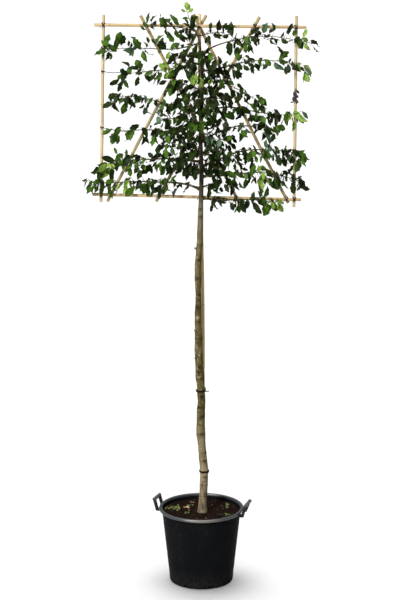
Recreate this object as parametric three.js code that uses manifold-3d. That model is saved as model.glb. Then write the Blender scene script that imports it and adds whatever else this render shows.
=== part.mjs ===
// Potted espaliered Persian ironwood: a clear-stemmed tree whose crown is trained flat on a frame
// of canes, standing in a round nursery container with two clip-on handles.
// Millimetres, +Z up. The origin is the centre of the container's flat underside. The flat crown
// lies along X, its front face looks along -Y, and the cane frame stands behind the trunk.

import * as THREE from 'three';
import { mergeVertices } from 'three/addons/utils/BufferGeometryUtils.js';
import Module from 'manifold-3d';

const wasm = await Module();
wasm.setup();

// Clearance between pieces that touch
const GAP = 0.3;

// Container
const POT_HEIGHT = 470;
const POT_RIM_RADIUS = 260;
const POT_RIM_DEPTH = 18;
const POT_RIM_BASE = POT_HEIGHT - POT_RIM_DEPTH;
const POT_NECK_RADIUS = 243;
const POT_FOOT_RADIUS = 195;
const POT_FOOT_CHAMFER = 7;
const POT_WALL = 4;
const POT_FLOOR = 6;
const POT_SIDES = 36;
const DRAIN_COUNT = 8;
const DRAIN_WIDTH = 24;
const DRAIN_HEIGHT = 12;

// Soil filling the container
const SOIL_LEVEL = 436;
const SOIL_EDGE_DROP = 9;
const SOIL_FLAT_RADIUS = 95;

// Clip-on handles: two arms that hook under the rim and lean out, joined by a flanged grip bar
const HANDLE_ANGLES = { handle_left: 164.5, handle_right: -11.5 };
const HANDLE_SPREAD = 105;
const HANDLE_FOOT_HEIGHT = 442;
const HANDLE_FOOT_RADIUS = 267;
const HANDLE_ARM_LENGTH = 69;
const HANDLE_ARM_WIDTH = 14;
const HANDLE_ARM_DEPTH = 11;
const ARM_SINK = 4;
const HANDLE_LEAN = THREE.MathUtils.degToRad(15);
const GRIP_RADIUS = 8.5;
const GRIP_FLANGE_RADIUS = 11;
const GRIP_FLANGE_WIDTH = 4;
const GRIP_OVERHANG = 9;
const GRIP_SIDES = 10;
const LUG_HEIGHT = 9;
const LUG_TOOTH = 5;

// Trunk: height, sway along X, sway along Y, radius
const TRUNK_SIDES = 12;
const TRUNK_STEPS = 28;
const TRUNK_STATIONS = [
  [SOIL_LEVEL + GAP, 6, 0, 30],
  [480, 7, 0, 26.5],
  [595, 14, 0, 23],
  [700, 17, 0, 22.8],
  [810, 7, 0, 22.2],
  [990, -3, 0, 23.4],
  [1190, -3, 0, 22.2],
  [1420, -14, 0, 20.4],
  [1650, -20, 0, 18.6],
  [1980, -20, 0, 17.6],
  [2200, -8, 0, 16],
  [2400, -3, 0, 13.8],
  [2560, 1, 0, 12.6],
  [2800, -5, 1, 11],
  [3100, 0, 3, 9],
  [3260, -5, 4, 7.6],
  [3360, -18, 4, 6.2],
  [3425, -52, 2, 4.6],
];

// Cane frame. Every cane is round; its ends are given at its two cut faces.
const CANE_RADIUS = 9;
const CENTRE_CANE_RADIUS = 10;
const CANE_SIDES = 10;
// Depths behind the trunk: the cross canes lie on it, the uprights behind those, and the
// slanting canes are bowed so that they pass behind each other at their crossings.
const CROSS_DEPTH = 23.6;
const UPRIGHT_DEPTH = CROSS_DEPTH + 2 * CANE_RADIUS + 2 * GAP;
const CENTRE_DEPTH = CROSS_DEPTH + CANE_RADIUS + CENTRE_CANE_RADIUS + GAP;
const BEHIND_CENTRE = CENTRE_DEPTH + CENTRE_CANE_RADIUS + CANE_RADIUS + 2 * GAP;
const BEHIND_SLANT = BEHIND_CENTRE + 2 * CANE_RADIUS + 2 * GAP;

// Straight canes from one end to the other
const STRAIGHT_CANES = [
  { name: 'cane_top', from: [-626, CROSS_DEPTH, 3432], to: [613, CROSS_DEPTH, 3418] },
  { name: 'cane_bottom', from: [-649, CROSS_DEPTH, 2423], to: [593, CROSS_DEPTH, 2390] },
  { name: 'cane_side_left', from: [-599, UPRIGHT_DEPTH, 2373], to: [-572, UPRIGHT_DEPTH, 3488] },
  { name: 'cane_side_right', from: [552, UPRIGHT_DEPTH, 2342], to: [555, UPRIGHT_DEPTH, 3482] },
  {
    name: 'centre_cane',
    from: [17, CENTRE_DEPTH, SOIL_LEVEL + GAP],
    to: [-13, CENTRE_DEPTH, 3494],
    radius: CENTRE_CANE_RADIUS,
  },
];

// Slanting canes: ends in the plane of the frame, then [height, depth] where they are tied. Two
// of them also pass behind (1) or in front of (-1) another one at their crossing.
const CANE_PASS = 2 * CANE_RADIUS + 3 * GAP;
const SLANT_CANES = [
  {
    name: 'cane_slant_a',
    from: [-356, 3483],
    to: [238, 2342],
    depths: [[3430, UPRIGHT_DEPTH], [2821, BEHIND_CENTRE], [2400, UPRIGHT_DEPTH]],
  },
  {
    name: 'cane_slant_d',
    from: [338, 3475],
    to: [-270, 2377],
    depths: [[3425, UPRIGHT_DEPTH], [2821, BEHIND_SLANT], [2410, UPRIGHT_DEPTH]],
  },
  {
    name: 'cane_slant_b',
    from: [27, 3483],
    to: [-560, 2377],
    depths: [[3419, BEHIND_CENTRE], [2420, UPRIGHT_DEPTH]],
    passes: { name: 'cane_slant_a', side: 1 },
  },
  {
    name: 'cane_slant_c',
    from: [-46, 3485],
    to: [518, 2367],
    depths: [[3419, BEHIND_SLANT], [2398, UPRIGHT_DEPTH]],
    passes: { name: 'cane_slant_d', side: -1 },
  },
];

// Soft ties that hold the trunk to the centre cane: height above the ground
const TIE_HEIGHTS = { trunk_tie_low: 699, trunk_tie_high: 1213 };
const TIE_THICKNESS = 3;
const TIE_WIDTH = 7;
const TIE_SLACK = 0.8;

// Trained shoots. rise holds the heights where the shoot leaves the trunk, at one third and two
// thirds of its reach, and at its tip. bare is the length of its leafless bough, or 0 where the
// shoot is leafy from the trunk. step is the distance between buds, twig the longest side twig,
// girth the radius at the trunk and spray the number of leaves on a side twig. The columns are
// name, side, reach, rise, bare, step, twig, girth and spray.
const SHOOT_ROWS = [
  ['left_1', -1, 662, [2457, 2505, 2502, 2508], 130, 62, 46, 7.5, 2],
  ['left_2', -1, 600, [2625, 2642, 2636, 2590], 70, 56, 62, 7.5, 3],
  ['left_2_inner', -1, 215, [2683, 2698, 2712, 2716], 0, 37, 70, 4.5, 3],
  ['left_3', -1, 520, [2743, 2792, 2818, 2800], 60, 53, 55, 6.5, 2],
  ['left_3_inner', -1, 235, [2828, 2866, 2886, 2884], 0, 37, 70, 4.5, 3],
  ['left_4', -1, 515, [2904, 2966, 3004, 3020], 60, 51, 60, 6.5, 2],
  ['left_4_inner', -1, 200, [3053, 3075, 3090, 3092], 0, 40, 60, 4.5, 2],
  ['left_5', -1, 470, [3206, 3187, 3161, 3152], 60, 57, 48, 5.5, 2],
  ['left_6_inner', -1, 150, [3268, 3262, 3250, 3244], 0, 37, 55, 4, 2],
  ['left_6', -1, 580, [3332, 3296, 3298, 3298], 60, 55, 36, 4.8, 1],
  ['left_7', -1, 315, [3392, 3414, 3432, 3430], 0, 46, 46, 4, 2],
  ['right_1', 1, 450, [2403, 2397, 2392, 2386], 50, 51, 46, 6.5, 2],
  ['right_1_inner', 1, 120, [2469, 2484, 2494, 2498], 0, 40, 42, 4.5, 2],
  ['right_2', 1, 585, [2534, 2552, 2556, 2508], 110, 51, 58, 7, 3],
  ['right_3', 1, 592, [2592, 2676, 2700, 2664], 60, 56, 58, 7, 3],
  ['right_3_inner', 1, 170, [2671, 2714, 2756, 2760], 0, 35, 60, 4.5, 3],
  ['right_4', 1, 435, [2743, 2822, 2838, 2816], 50, 56, 55, 6.5, 2],
  ['right_5', 1, 560, [2896, 2949, 2916, 2914], 60, 51, 44, 6.5, 2],
  ['right_5_inner', 1, 140, [2996, 3006, 3014, 3016], 0, 37, 60, 4.5, 2],
  ['right_6', 1, 350, [3086, 3096, 3050, 2976], 70, 44, 52, 5.5, 2],
  ['right_7', 1, 605, [3164, 3205, 3230, 3166], 60, 53, 44, 5.5, 2],
  ['right_8', 1, 660, [3268, 3354, 3364, 3324], 90, 55, 44, 5, 1],
  ['right_9', 1, 130, [3372, 3388, 3392, 3390], 0, 37, 44, 3.6, 2],
];
const SHOOTS = SHOOT_ROWS.map(([name, side, reach, rise, bare, step, twig, girth, spray]) => (
  { name, side, reach, rise, bare, step, twig, girth, spray }
));
const SHOOT_TIP_RADIUS = 1.6;
const SHOOT_SIDES = 5;
const SHOOT_STEP = 90;
const SHOOT_FORWARD = -7;
const SHOOT_BEND = 90;
const SHOOT_WAVE = 5;

// Front sprays: heights between which each keeps, number of arms and how far they spread
const FRONT_SPRAYS = [
  { name: 'front_1', low: 2590, high: 2752, arms: 5, spread: 150 },
  { name: 'front_2', low: 2752, high: 2912, arms: 5, spread: 165 },
  { name: 'front_3', low: 2912, high: 3110, arms: 5, spread: 130 },
  { name: 'front_4', low: 3110, high: 3330, arms: 5, spread: 95 },
];
const FRONT_PLANE = -34;
const FRONT_FORK = 8;
const FRONT_DEPTH = 26;
const FRONT_HALF_WIDTH = 240;
const FRONT_GIRTH = 5;
const FRONT_STEM = { from: 34, step: 42, twig: 36, spray: 2, leaf: 68 };

// Side twigs and leaves
const TWIG_SIDES = 3;
const TWIG_RADIUS = 2;
const TWIG_TIP_RADIUS = 1.3;
const LEAF_LENGTH = 72;
const LEAF_ASPECT = 0.56;
const LEAF_KEEL = 2;
const LEAF_WIDEST = 0.56;
const LEAF_SAMPLES = 7;
const LEAF_SPACING = 7;
const STALK_LENGTH = 13;
const BUD_INSET = 14;
const BUD_TRIALS = 5;
const TRIAL_SHRINK = 0.08;
const SIXTY_SINE = Math.sin(Math.PI / 3);
const LIMB_CLEARANCE = 2.2;
const THIN_LIMB_REACH = 6.2;
const CELL_MARGIN = 2;
const CELL_OVERRUN = 90;
const CENTRE_MARGIN = 1.5;
const GOLDEN_ANGLE = THREE.MathUtils.degToRad(137.5);

// Leader: the young tip above the top cane
const LEADER = { lean: -36, height: 92, girth: 4, leaves: 7, leaf: 46 };

// Bundle of withered leaves caught on the right upright
const WITHERED = { low: 2972, high: 3056, girth: 2.6, leaves: 7, leaf: 42 };

// Colours
const FINISH = {
  pot: { color: 0x2a2b2e, roughness: 0.55, metalness: 0 },
  soil: { color: 0x3a2a1e, roughness: 0.95, metalness: 0 },
  bark: { color: 0x6d6753, roughness: 0.85, metalness: 0 },
  cane: { color: 0xd6b987, roughness: 0.5, metalness: 0 },
  tie: { color: 0x1c1a18, roughness: 0.6, metalness: 0 },
  foliage: { color: 0x38532a, roughness: 0.5, metalness: 0 },
  withered: { color: 0x3d2730, roughness: 0.8, metalness: 0 },
};

const tree = new THREE.Group();

// Adds a named piece to the tree
function addPiece(name, geometry, finish, parent = tree) {
  const mesh = new THREE.Mesh(geometry, new THREE.MeshStandardMaterial(FINISH[finish]));
  mesh.name = name;
  parent.add(mesh);
  return mesh;
}

// Repeatable random numbers between 0 and 1, from a whole-number seed
function randomFrom(seed) {
  let state = (seed * 7919 + 104729) % 2147483647;
  return () => {
    state = (state * 16807) % 2147483647;
    return state / 2147483647;
  };
}

// Smooth curve through a table whose rows start with a rising height
function smoothColumn(rows, column, height) {
  const last = rows.length - 1;
  let k = 0;
  while (k < last - 1 && height > rows[k + 1][0]) k += 1;
  const slope = (i) => {
    const low = Math.max(i - 1, 0);
    const high = Math.min(i + 1, last);
    return (rows[high][column] - rows[low][column]) / (rows[high][0] - rows[low][0]);
  };
  const span = rows[k + 1][0] - rows[k][0];
  const s = THREE.MathUtils.clamp((height - rows[k][0]) / span, 0, 1);
  const s2 = s * s;
  const s3 = s2 * s;
  return (2 * s3 - 3 * s2 + 1) * rows[k][column] + (s3 - 2 * s2 + s) * span * slope(k)
    + (3 * s2 - 2 * s3) * rows[k + 1][column] + (s3 - s2) * span * slope(k + 1);
}

// Closed tube along a curve: a unit cylinder whose rings are moved onto the curve and scaled.
// spin turns the sides about the curve, and up is kept off the curve's own direction.
function limbGeometry(curve, radiusAt, sides, steps, up, spin = 0) {
  const geometry = new THREE.CylinderGeometry(1, 1, 1, sides, steps, false);
  const position = geometry.attributes.position;
  const point = new THREE.Vector3();
  for (let i = 0; i < position.count; i += 1) {
    point.fromBufferAttribute(position, i);
    const t = THREE.MathUtils.clamp(point.y + 0.5, 0, 1);
    const angle = Math.atan2(point.z, point.x) + spin;
    const radius = Math.hypot(point.x, point.z) * radiusAt(t);
    const along = curve.getTangent(t);
    const across = new THREE.Vector3().crossVectors(up, along).normalize();
    const over = new THREE.Vector3().crossVectors(along, across);
    point.copy(curve.getPoint(t));
    point.addScaledVector(over, radius * Math.cos(angle));
    point.addScaledVector(across, radius * Math.sin(angle));
    position.setXYZ(i, point.x, point.y, point.z);
  }
  return geometry;
}

// A curve given by a function of 0 to 1, with its direction taken from the same function
class FunctionCurve extends THREE.Curve {
  constructor(pointAt, directionAt) {
    super();
    this.pointAt = pointAt;
    this.directionAt = directionAt;
  }

  getPoint(t) {
    return this.pointAt(t);
  }

  getTangent(t) {
    if (this.directionAt) return this.directionAt(t);
    const d = 0.002;
    const ahead = this.pointAt(Math.min(t + d, 1));
    return ahead.sub(this.pointAt(Math.max(t - d, 0))).normalize();
  }
}

// Closed mesh to solid, with its shared vertices merged
function toSolid(geometry) {
  const bare = geometry.index ? geometry.clone() : mergeVertices(geometry.clone());
  bare.deleteAttribute('normal');
  bare.deleteAttribute('uv');
  const merged = mergeVertices(bare, 1e-4);
  return new wasm.Manifold(new wasm.Mesh({
    numProp: 3,
    vertProperties: new Float32Array(merged.attributes.position.array),
    triVerts: new Uint32Array(merged.index.array),
  }));
}

// Solid to mesh. Only its largest closed shell is kept, so that a scrap is dropped and a hollow
// that joining has sealed is filled.
function toGeometry(solid) {
  const mesh = solid.getMesh();
  const parent = Int32Array.from({ length: mesh.numVert }, (_, i) => i);
  const root = (i) => {
    let at = i;
    while (parent[at] !== at) at = parent[at];
    parent[i] = at;
    return at;
  };
  const corners = mesh.triVerts;
  for (let i = 0; i < corners.length; i += 3) {
    parent[root(corners[i + 1])] = root(corners[i]);
    parent[root(corners[i + 2])] = root(corners[i]);
  }
  const volumes = new Map();
  const [a, b, c] = [new THREE.Vector3(), new THREE.Vector3(), new THREE.Vector3()];
  for (let i = 0; i < corners.length; i += 3) {
    a.fromArray(mesh.vertProperties, corners[i] * 3);
    b.fromArray(mesh.vertProperties, corners[i + 1] * 3);
    c.fromArray(mesh.vertProperties, corners[i + 2] * 3);
    const shell = root(corners[i]);
    volumes.set(shell, (volumes.get(shell) ?? 0) + a.dot(b.cross(c)));
  }
  const largest = [...volumes.entries()].sort((p, q) => q[1] - p[1])[0][0];
  const kept = [];
  for (let i = 0; i < corners.length; i += 3) {
    if (root(corners[i]) === largest) kept.push(corners[i], corners[i + 1], corners[i + 2]);
  }
  const geometry = new THREE.BufferGeometry();
  geometry.setAttribute('position', new THREE.BufferAttribute(mesh.vertProperties, 3));
  geometry.setIndex(kept);
  return geometry.toNonIndexed();
}

function join(geometries) {
  return geometries.map(toSolid).reduce((whole, solid) => whole.add(solid));
}

// Inside radius of the container's wall at a height under the rim
function innerWall(height) {
  const t = (height - POT_FOOT_CHAMFER) / (POT_RIM_BASE - POT_FOOT_CHAMFER);
  return THREE.MathUtils.lerp(POT_FOOT_RADIUS, POT_NECK_RADIUS, t) - POT_WALL;
}

// Container: one turned shell with a rolled rim, and drain slots cut through its wall at the foot
function buildPot() {
  const profile = [
    [0, 0],
    [POT_FOOT_RADIUS - POT_FOOT_CHAMFER, 0],
    [POT_FOOT_RADIUS, POT_FOOT_CHAMFER],
    [POT_NECK_RADIUS, POT_RIM_BASE],
    [POT_RIM_RADIUS - 3, POT_RIM_BASE],
    [POT_RIM_RADIUS, POT_RIM_BASE + 4],
    [POT_RIM_RADIUS, POT_HEIGHT - 5],
    [POT_RIM_RADIUS - 5, POT_HEIGHT],
    [POT_NECK_RADIUS, POT_HEIGHT],
    [POT_NECK_RADIUS - POT_WALL, POT_HEIGHT - 4],
    [POT_NECK_RADIUS - POT_WALL, POT_RIM_BASE],
    [innerWall(POT_FLOOR), POT_FLOOR],
    [0, POT_FLOOR],
  ];
  const points = profile.map(([x, y]) => new THREE.Vector2(x, y));
  const shell = new THREE.LatheGeometry(points, POT_SIDES).rotateX(Math.PI / 2);
  let pot = toSolid(shell);
  for (let i = 0; i < DRAIN_COUNT; i += 1) {
    const slot = new THREE.BoxGeometry(60, DRAIN_WIDTH, DRAIN_HEIGHT);
    slot.translate(POT_FOOT_RADIUS, 0, POT_FLOOR + 2 + DRAIN_HEIGHT / 2);
    slot.rotateZ(((i + 0.36) * 2 * Math.PI) / DRAIN_COUNT);
    pot = pot.subtract(toSolid(slot));
  }
  addPiece('pot', toGeometry(pot), 'pot');
}

// Soil: fills the container to a little under its rim, flat round the trunk
function buildSoil() {
  const floor = POT_FLOOR + GAP;
  const edge = SOIL_LEVEL - SOIL_EDGE_DROP;
  const slack = 2 * GAP;
  const points = [
    new THREE.Vector2(0, floor),
    new THREE.Vector2(innerWall(floor) - slack, floor),
    new THREE.Vector2(innerWall(edge) - slack, edge),
    new THREE.Vector2(SOIL_FLAT_RADIUS, SOIL_LEVEL),
    new THREE.Vector2(0, SOIL_LEVEL),
  ];
  addPiece('soil', new THREE.LatheGeometry(points, POT_SIDES).rotateX(Math.PI / 2), 'soil');
}

const gripPiece = (radius, length) => new THREE.CylinderGeometry(radius, radius, length, GRIP_SIDES);

// Handle at plan angle 0: lugs that reach in under the rim, arms, and the grip bar between them
function buildHandle(name, degrees) {
  const armReach = HANDLE_ARM_LENGTH * Math.sin(HANDLE_LEAN);
  const armRise = HANDLE_ARM_LENGTH * Math.cos(HANDLE_LEAN);
  const gripX = HANDLE_FOOT_RADIUS + armReach;
  const gripZ = HANDLE_FOOT_HEIGHT + armRise;
  const lugTop = POT_RIM_BASE - GAP;
  const lugStart = POT_NECK_RADIUS + GAP;
  const lugLength = HANDLE_FOOT_RADIUS - lugStart;
  const parts = [];
  for (const end of [-1, 1]) {
    const y = (end * HANDLE_SPREAD) / 2;
    const armLength = HANDLE_ARM_LENGTH + 2 * ARM_SINK;
    const arm = new THREE.BoxGeometry(HANDLE_ARM_DEPTH, HANDLE_ARM_WIDTH, armLength);
    arm.rotateY(HANDLE_LEAN).translate(HANDLE_FOOT_RADIUS + armReach / 2, y, gripZ - armRise / 2);
    const lug = new THREE.BoxGeometry(lugLength, HANDLE_ARM_WIDTH + 2 * LUG_TOOTH, LUG_HEIGHT);
    lug.translate(lugStart + lugLength / 2, y, lugTop - LUG_HEIGHT / 2);
    const tooth = new THREE.BoxGeometry(LUG_TOOTH, HANDLE_ARM_WIDTH + 4 * LUG_TOOTH, LUG_TOOTH);
    tooth.translate(HANDLE_FOOT_RADIUS - LUG_TOOTH, y, lugTop - LUG_HEIGHT / 2);
    const flange = gripPiece(GRIP_FLANGE_RADIUS, GRIP_FLANGE_WIDTH);
    flange.translate(gripX, end * (HANDLE_SPREAD / 2 + GRIP_OVERHANG), gripZ);
    parts.push(arm, lug, tooth, flange);
  }
  const length = HANDLE_SPREAD + 2 * GRIP_OVERHANG;
  parts.push(gripPiece(GRIP_RADIUS, length).translate(gripX, 0, gripZ));
  const turn = new THREE.Group();
  turn.rotation.z = THREE.MathUtils.degToRad(degrees);
  tree.add(turn);
  addPiece(name, toGeometry(join(parts)), 'pot', turn);
}

const trunkX = (height) => smoothColumn(TRUNK_STATIONS, 1, height);
const trunkY = (height) => smoothColumn(TRUNK_STATIONS, 2, height);
const trunkRadius = (height) => smoothColumn(TRUNK_STATIONS, 3, height);
const trunkPoint = (height) => new THREE.Vector3(trunkX(height), trunkY(height), height);
const TRUNK_FOOT = TRUNK_STATIONS[0][0];
const TRUNK_TOP = TRUNK_STATIONS[TRUNK_STATIONS.length - 1][0];

// Trunk: one tapering limb from a flat cut at the soil to its slender top
function buildTrunk() {
  const heightAt = (t) => THREE.MathUtils.lerp(TRUNK_FOOT, TRUNK_TOP, t);
  const curve = new FunctionCurve(
    (t) => trunkPoint(heightAt(t)),
    () => new THREE.Vector3(0, 0, 1),
  );
  const up = new THREE.Vector3(1, 0, 0);
  const radiusAt = (t) => trunkRadius(heightAt(t));
  const spin = Math.PI / TRUNK_SIDES;
  addPiece('trunk', limbGeometry(curve, radiusAt, TRUNK_SIDES, TRUNK_STEPS, up, spin), 'bark');
}

// Depth of a slanting cane: the parabola through its three given crossings
function parabola(depths, height) {
  let sum = 0;
  for (const [zi, yi] of depths) {
    let weight = 1;
    for (const [zj] of depths) {
      if (zj !== zi) weight *= (height - zj) / (zi - zj);
    }
    sum += yi * weight;
  }
  return sum;
}

// Height at which two slanting canes cross, seen from the front
function crossingHeight(one, other) {
  const slope = (cane) => (cane.to[0] - cane.from[0]) / (cane.to[1] - cane.from[1]);
  const offset = (cane) => cane.from[0] - slope(cane) * cane.from[1];
  return (offset(other) - offset(one)) / (slope(one) - slope(other));
}

for (const cane of SLANT_CANES.filter((each) => each.passes)) {
  const other = SLANT_CANES.find((each) => each.name === cane.passes.name);
  const height = crossingHeight(cane, other);
  cane.depths.push([height, parabola(other.depths, height) + cane.passes.side * CANE_PASS]);
}

const slantPoint = (cane, t) => {
  const height = THREE.MathUtils.lerp(cane.from[1], cane.to[1], t);
  const x = THREE.MathUtils.lerp(cane.from[0], cane.to[0], t);
  return new THREE.Vector3(x, parabola(cane.depths, height), height);
};

function buildCanes() {
  const up = new THREE.Vector3(0, 1, 0);
  for (const cane of STRAIGHT_CANES) {
    const radius = cane.radius ?? CANE_RADIUS;
    const [from, to] = [cane.from, cane.to].map((end) => new THREE.Vector3(...end));
    const line = new THREE.LineCurve3(from, to);
    const geometry = limbGeometry(line, () => radius, CANE_SIDES, 1, up, Math.PI / CANE_SIDES);
    addPiece(cane.name, geometry, 'cane');
  }
  for (const cane of SLANT_CANES) {
    const curve = new FunctionCurve((t) => slantPoint(cane, t));
    addPiece(cane.name, limbGeometry(curve, () => CANE_RADIUS, CANE_SIDES, 6, up), 'cane');
  }
}

// Soft tie: a flat band round the trunk and the centre cane, drawn tight over both
function buildTie(name, height) {
  const cane = STRAIGHT_CANES[4];
  const t = (height - cane.from[2]) / (cane.to[2] - cane.from[2]);
  const caneX = THREE.MathUtils.lerp(cane.from[0], cane.to[0], t);
  const [left, right] = [trunkSide(-1, height), trunkSide(1, height)];
  const trunkReach = (left + right) / 2 / Math.cos(Math.PI / TRUNK_SIDES);
  const front = { x: (right - left) / 2, y: 0, r: trunkReach + TIE_SLACK };
  const back = { x: caneX, y: CENTRE_DEPTH, r: CENTRE_CANE_RADIUS + TIE_SLACK };
  const apart = Math.hypot(back.x - front.x, back.y - front.y);
  const facing = Math.atan2(back.y - front.y, back.x - front.x);
  const opening = Math.acos((front.r - back.r) / apart);
  const outline = (path, extra) => {
    const [near, far] = [facing + opening, facing - opening];
    path.absarc(front.x, front.y, front.r + extra, near, far + 2 * Math.PI, false);
    path.absarc(back.x, back.y, back.r + extra, far, near, false);
    path.closePath();
    return path;
  };
  const band = outline(new THREE.Shape(), TIE_THICKNESS);
  band.holes.push(outline(new THREE.Path(), 0));
  const settings = { depth: TIE_WIDTH, bevelEnabled: false, curveSegments: 8 };
  const geometry = new THREE.ExtrudeGeometry(band, settings);
  addPiece(name, geometry.translate(0, 0, height - TIE_WIDTH / 2), 'tie');
}

// Height of a shoot at a distance from the trunk: the cubic through its four given heights
function shootHeight(shoot, distance) {
  const u = THREE.MathUtils.clamp(distance / shoot.reach, 0, 1) * 3;
  const [a, b, c, d] = shoot.rise;
  return (-a * (u - 1) * (u - 2) * (u - 3)) / 6 + (b * u * (u - 2) * (u - 3)) / 2
    - (c * u * (u - 1) * (u - 3)) / 2 + (d * u * (u - 1) * (u - 2)) / 6;
}

// A shoot leaves the trunk level, curves forward to the front of the frame and waves slightly
function shootPoint(shoot, distance) {
  const clear = distance - shoot.side * trunkX(shoot.rise[0]);
  const out = THREE.MathUtils.clamp(clear / SHOOT_BEND, 0, 1);
  const ease = out * out * (3 - 2 * out);
  const wave = SHOOT_WAVE * Math.sin(distance / 55 + shoot.rise[0]) * out;
  const foot = trunkY(shoot.rise[0]);
  return new THREE.Vector3(
    shoot.side * distance,
    THREE.MathUtils.lerp(foot, SHOOT_FORWARD, ease) + wave * 0.6,
    shootHeight(shoot, distance) + wave * 0.5,
  );
}

// How far the trunk's flat side stands out from the centre plane at a height, between its rings
function trunkSide(side, height) {
  const ring = ((height - TRUNK_FOOT) / (TRUNK_TOP - TRUNK_FOOT)) * TRUNK_STEPS;
  const below = THREE.MathUtils.clamp(Math.floor(ring), 0, TRUNK_STEPS - 1);
  const standOut = [below, below + 1].map((k) => {
    const level = THREE.MathUtils.lerp(TRUNK_FOOT, TRUNK_TOP, k / TRUNK_STEPS);
    return side * trunkX(level) + trunkRadius(level) * Math.cos(Math.PI / TRUNK_SIDES);
  });
  return THREE.MathUtils.lerp(standOut[0], standOut[1], ring - below);
}

// Distance from the centre plane at which a shoot starts, just clear of the trunk's side where
// its first cut is
function shootStart(shoot) {
  let start = trunkSide(shoot.side, shoot.rise[0]);
  for (let pass = 0; pass < 4; pass += 1) {
    const middle = shootPoint(shoot, start).z;
    let side = -Infinity;
    for (let i = -4; i <= 4; i += 1) {
      const height = Math.min(middle + (shoot.girth * i) / 4, TRUNK_TOP);
      side = Math.max(side, trunkSide(shoot.side, height));
    }
    start = side + GAP;
  }
  return start;
}

function shootRadius(shoot, distance) {
  const t = THREE.MathUtils.clamp(distance / shoot.reach, 0, 1);
  return THREE.MathUtils.lerp(shoot.girth, SHOOT_TIP_RADIUS, Math.pow(t, 0.7));
}

// Part of a shoot between two distances, as a tapering limb. Its first cut is upright where it
// meets the trunk.
function shootLimb(shoot, from, to, meetsTrunk) {
  const steps = Math.max(2, Math.round((to - from) / SHOOT_STEP));
  const distanceAt = (t) => THREE.MathUtils.lerp(from, to, t);
  const level = new THREE.Vector3(shoot.side, 0, 0);
  const bend = (t) => {
    const ahead = shootPoint(shoot, distanceAt(t) + 1).sub(shootPoint(shoot, distanceAt(t) - 1));
    return ahead.normalize();
  };
  const curve = new FunctionCurve(
    (t) => shootPoint(shoot, distanceAt(t)),
    (t) => (meetsTrunk && t < 0.01 ? level : bend(t)),
  );
  const up = new THREE.Vector3(0, 0, 1);
  return limbGeometry(curve, (t) => shootRadius(shoot, distanceAt(t)), SHOOT_SIDES, steps, up);
}

// Limbs and canes that foliage keeps clear of: chains of points with their radii
const obstacles = [];

function addObstacle(points, radii) {
  for (let i = 0; i + 1 < points.length; i += 1) {
    const reach = Math.max(Math.max(radii[i], radii[i + 1]) + LIMB_CLEARANCE, THIN_LIMB_REACH);
    obstacles.push({ line: new THREE.Line3(points[i], points[i + 1]), reach });
  }
}

function collectObstacles() {
  const heights = TRUNK_STATIONS.map((row) => row[0]);
  addObstacle(heights.map(trunkPoint), heights.map(trunkRadius));
  for (const cane of STRAIGHT_CANES) {
    const radius = cane.radius ?? CANE_RADIUS;
    addObstacle([new THREE.Vector3(...cane.from), new THREE.Vector3(...cane.to)], [radius, radius]);
  }
  for (const cane of SLANT_CANES) {
    const points = [];
    for (let i = 0; i <= 10; i += 1) points.push(slantPoint(cane, i / 10));
    addObstacle(points, points.map(() => CANE_RADIUS));
  }
  for (const shoot of SHOOTS) {
    if (shoot.bare === 0) continue;
    const start = shootStart(shoot);
    const points = [];
    const radii = [];
    for (let i = 0; i <= 4; i += 1) {
      const distance = start + (shoot.bare * i) / 4;
      points.push(shootPoint(shoot, distance));
      radii.push(shootRadius(shoot, distance));
    }
    addObstacle(points, radii);
  }
}

const nearest = new THREE.Vector3();

function isClear(points) {
  return points.every((point) => obstacles.every(({ line, reach }) => {
    line.closestPointToPoint(point, true, nearest);
    return nearest.distanceTo(point) > reach;
  }));
}

// A shoot's own space: its side of the centre plane, no further than its reach, behind the front
// sprays, and no nearer to a neighbouring shoot on that side than half-way
function isInShootCell(shoot, point) {
  const distance = shoot.side * point.x;
  if (distance < CENTRE_MARGIN || distance > shoot.reach + LEAF_LENGTH) return false;
  const isBehindFront = point.y > FRONT_PLANE + CELL_MARGIN;
  if (!isBehindFront && distance < FRONT_HALF_WIDTH + CELL_MARGIN) return false;
  const own = shootHeight(shoot, distance);
  return SHOOTS.every((other) => {
    if (other === shoot || other.side !== shoot.side) return true;
    if (distance > other.reach + CELL_OVERRUN) return true;
    const middle = (own + shootHeight(other, distance)) / 2;
    if (other.rise[0] > shoot.rise[0]) return point.z < middle - CELL_MARGIN;
    return point.z > middle + CELL_MARGIN;
  });
}

// A front spray's own space: a box in front of the trunk between two heights
function isInFrontCell(spray, point) {
  return point.y < FRONT_PLANE - CELL_MARGIN
    && Math.abs(point.x) < FRONT_HALF_WIDTH - CELL_MARGIN
    && point.z > spray.low + CELL_MARGIN && point.z < spray.high - CELL_MARGIN;
}

// Points spread over a leaf's blade, close enough together that no limb passes between them
function leafSamples(leaf) {
  const across = new THREE.Vector3().crossVectors(leaf.direction, leaf.normal);
  const samples = [leaf.neck.clone()];
  for (let i = 1; i <= LEAF_SAMPLES; i += 1) {
    const s = i / LEAF_SAMPLES;
    const width = s < LEAF_WIDEST ? s / LEAF_WIDEST : (1 - s) / (1 - LEAF_WIDEST);
    const half = (leaf.length * LEAF_ASPECT * width) / 2;
    for (const side of s < 1 ? [-1, -0.5, 0, 0.5, 1] : [0]) {
      const point = leaf.neck.clone().addScaledVector(leaf.direction, leaf.length * s);
      samples.push(point.addScaledVector(across, half * side));
    }
  }
  return samples;
}

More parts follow.
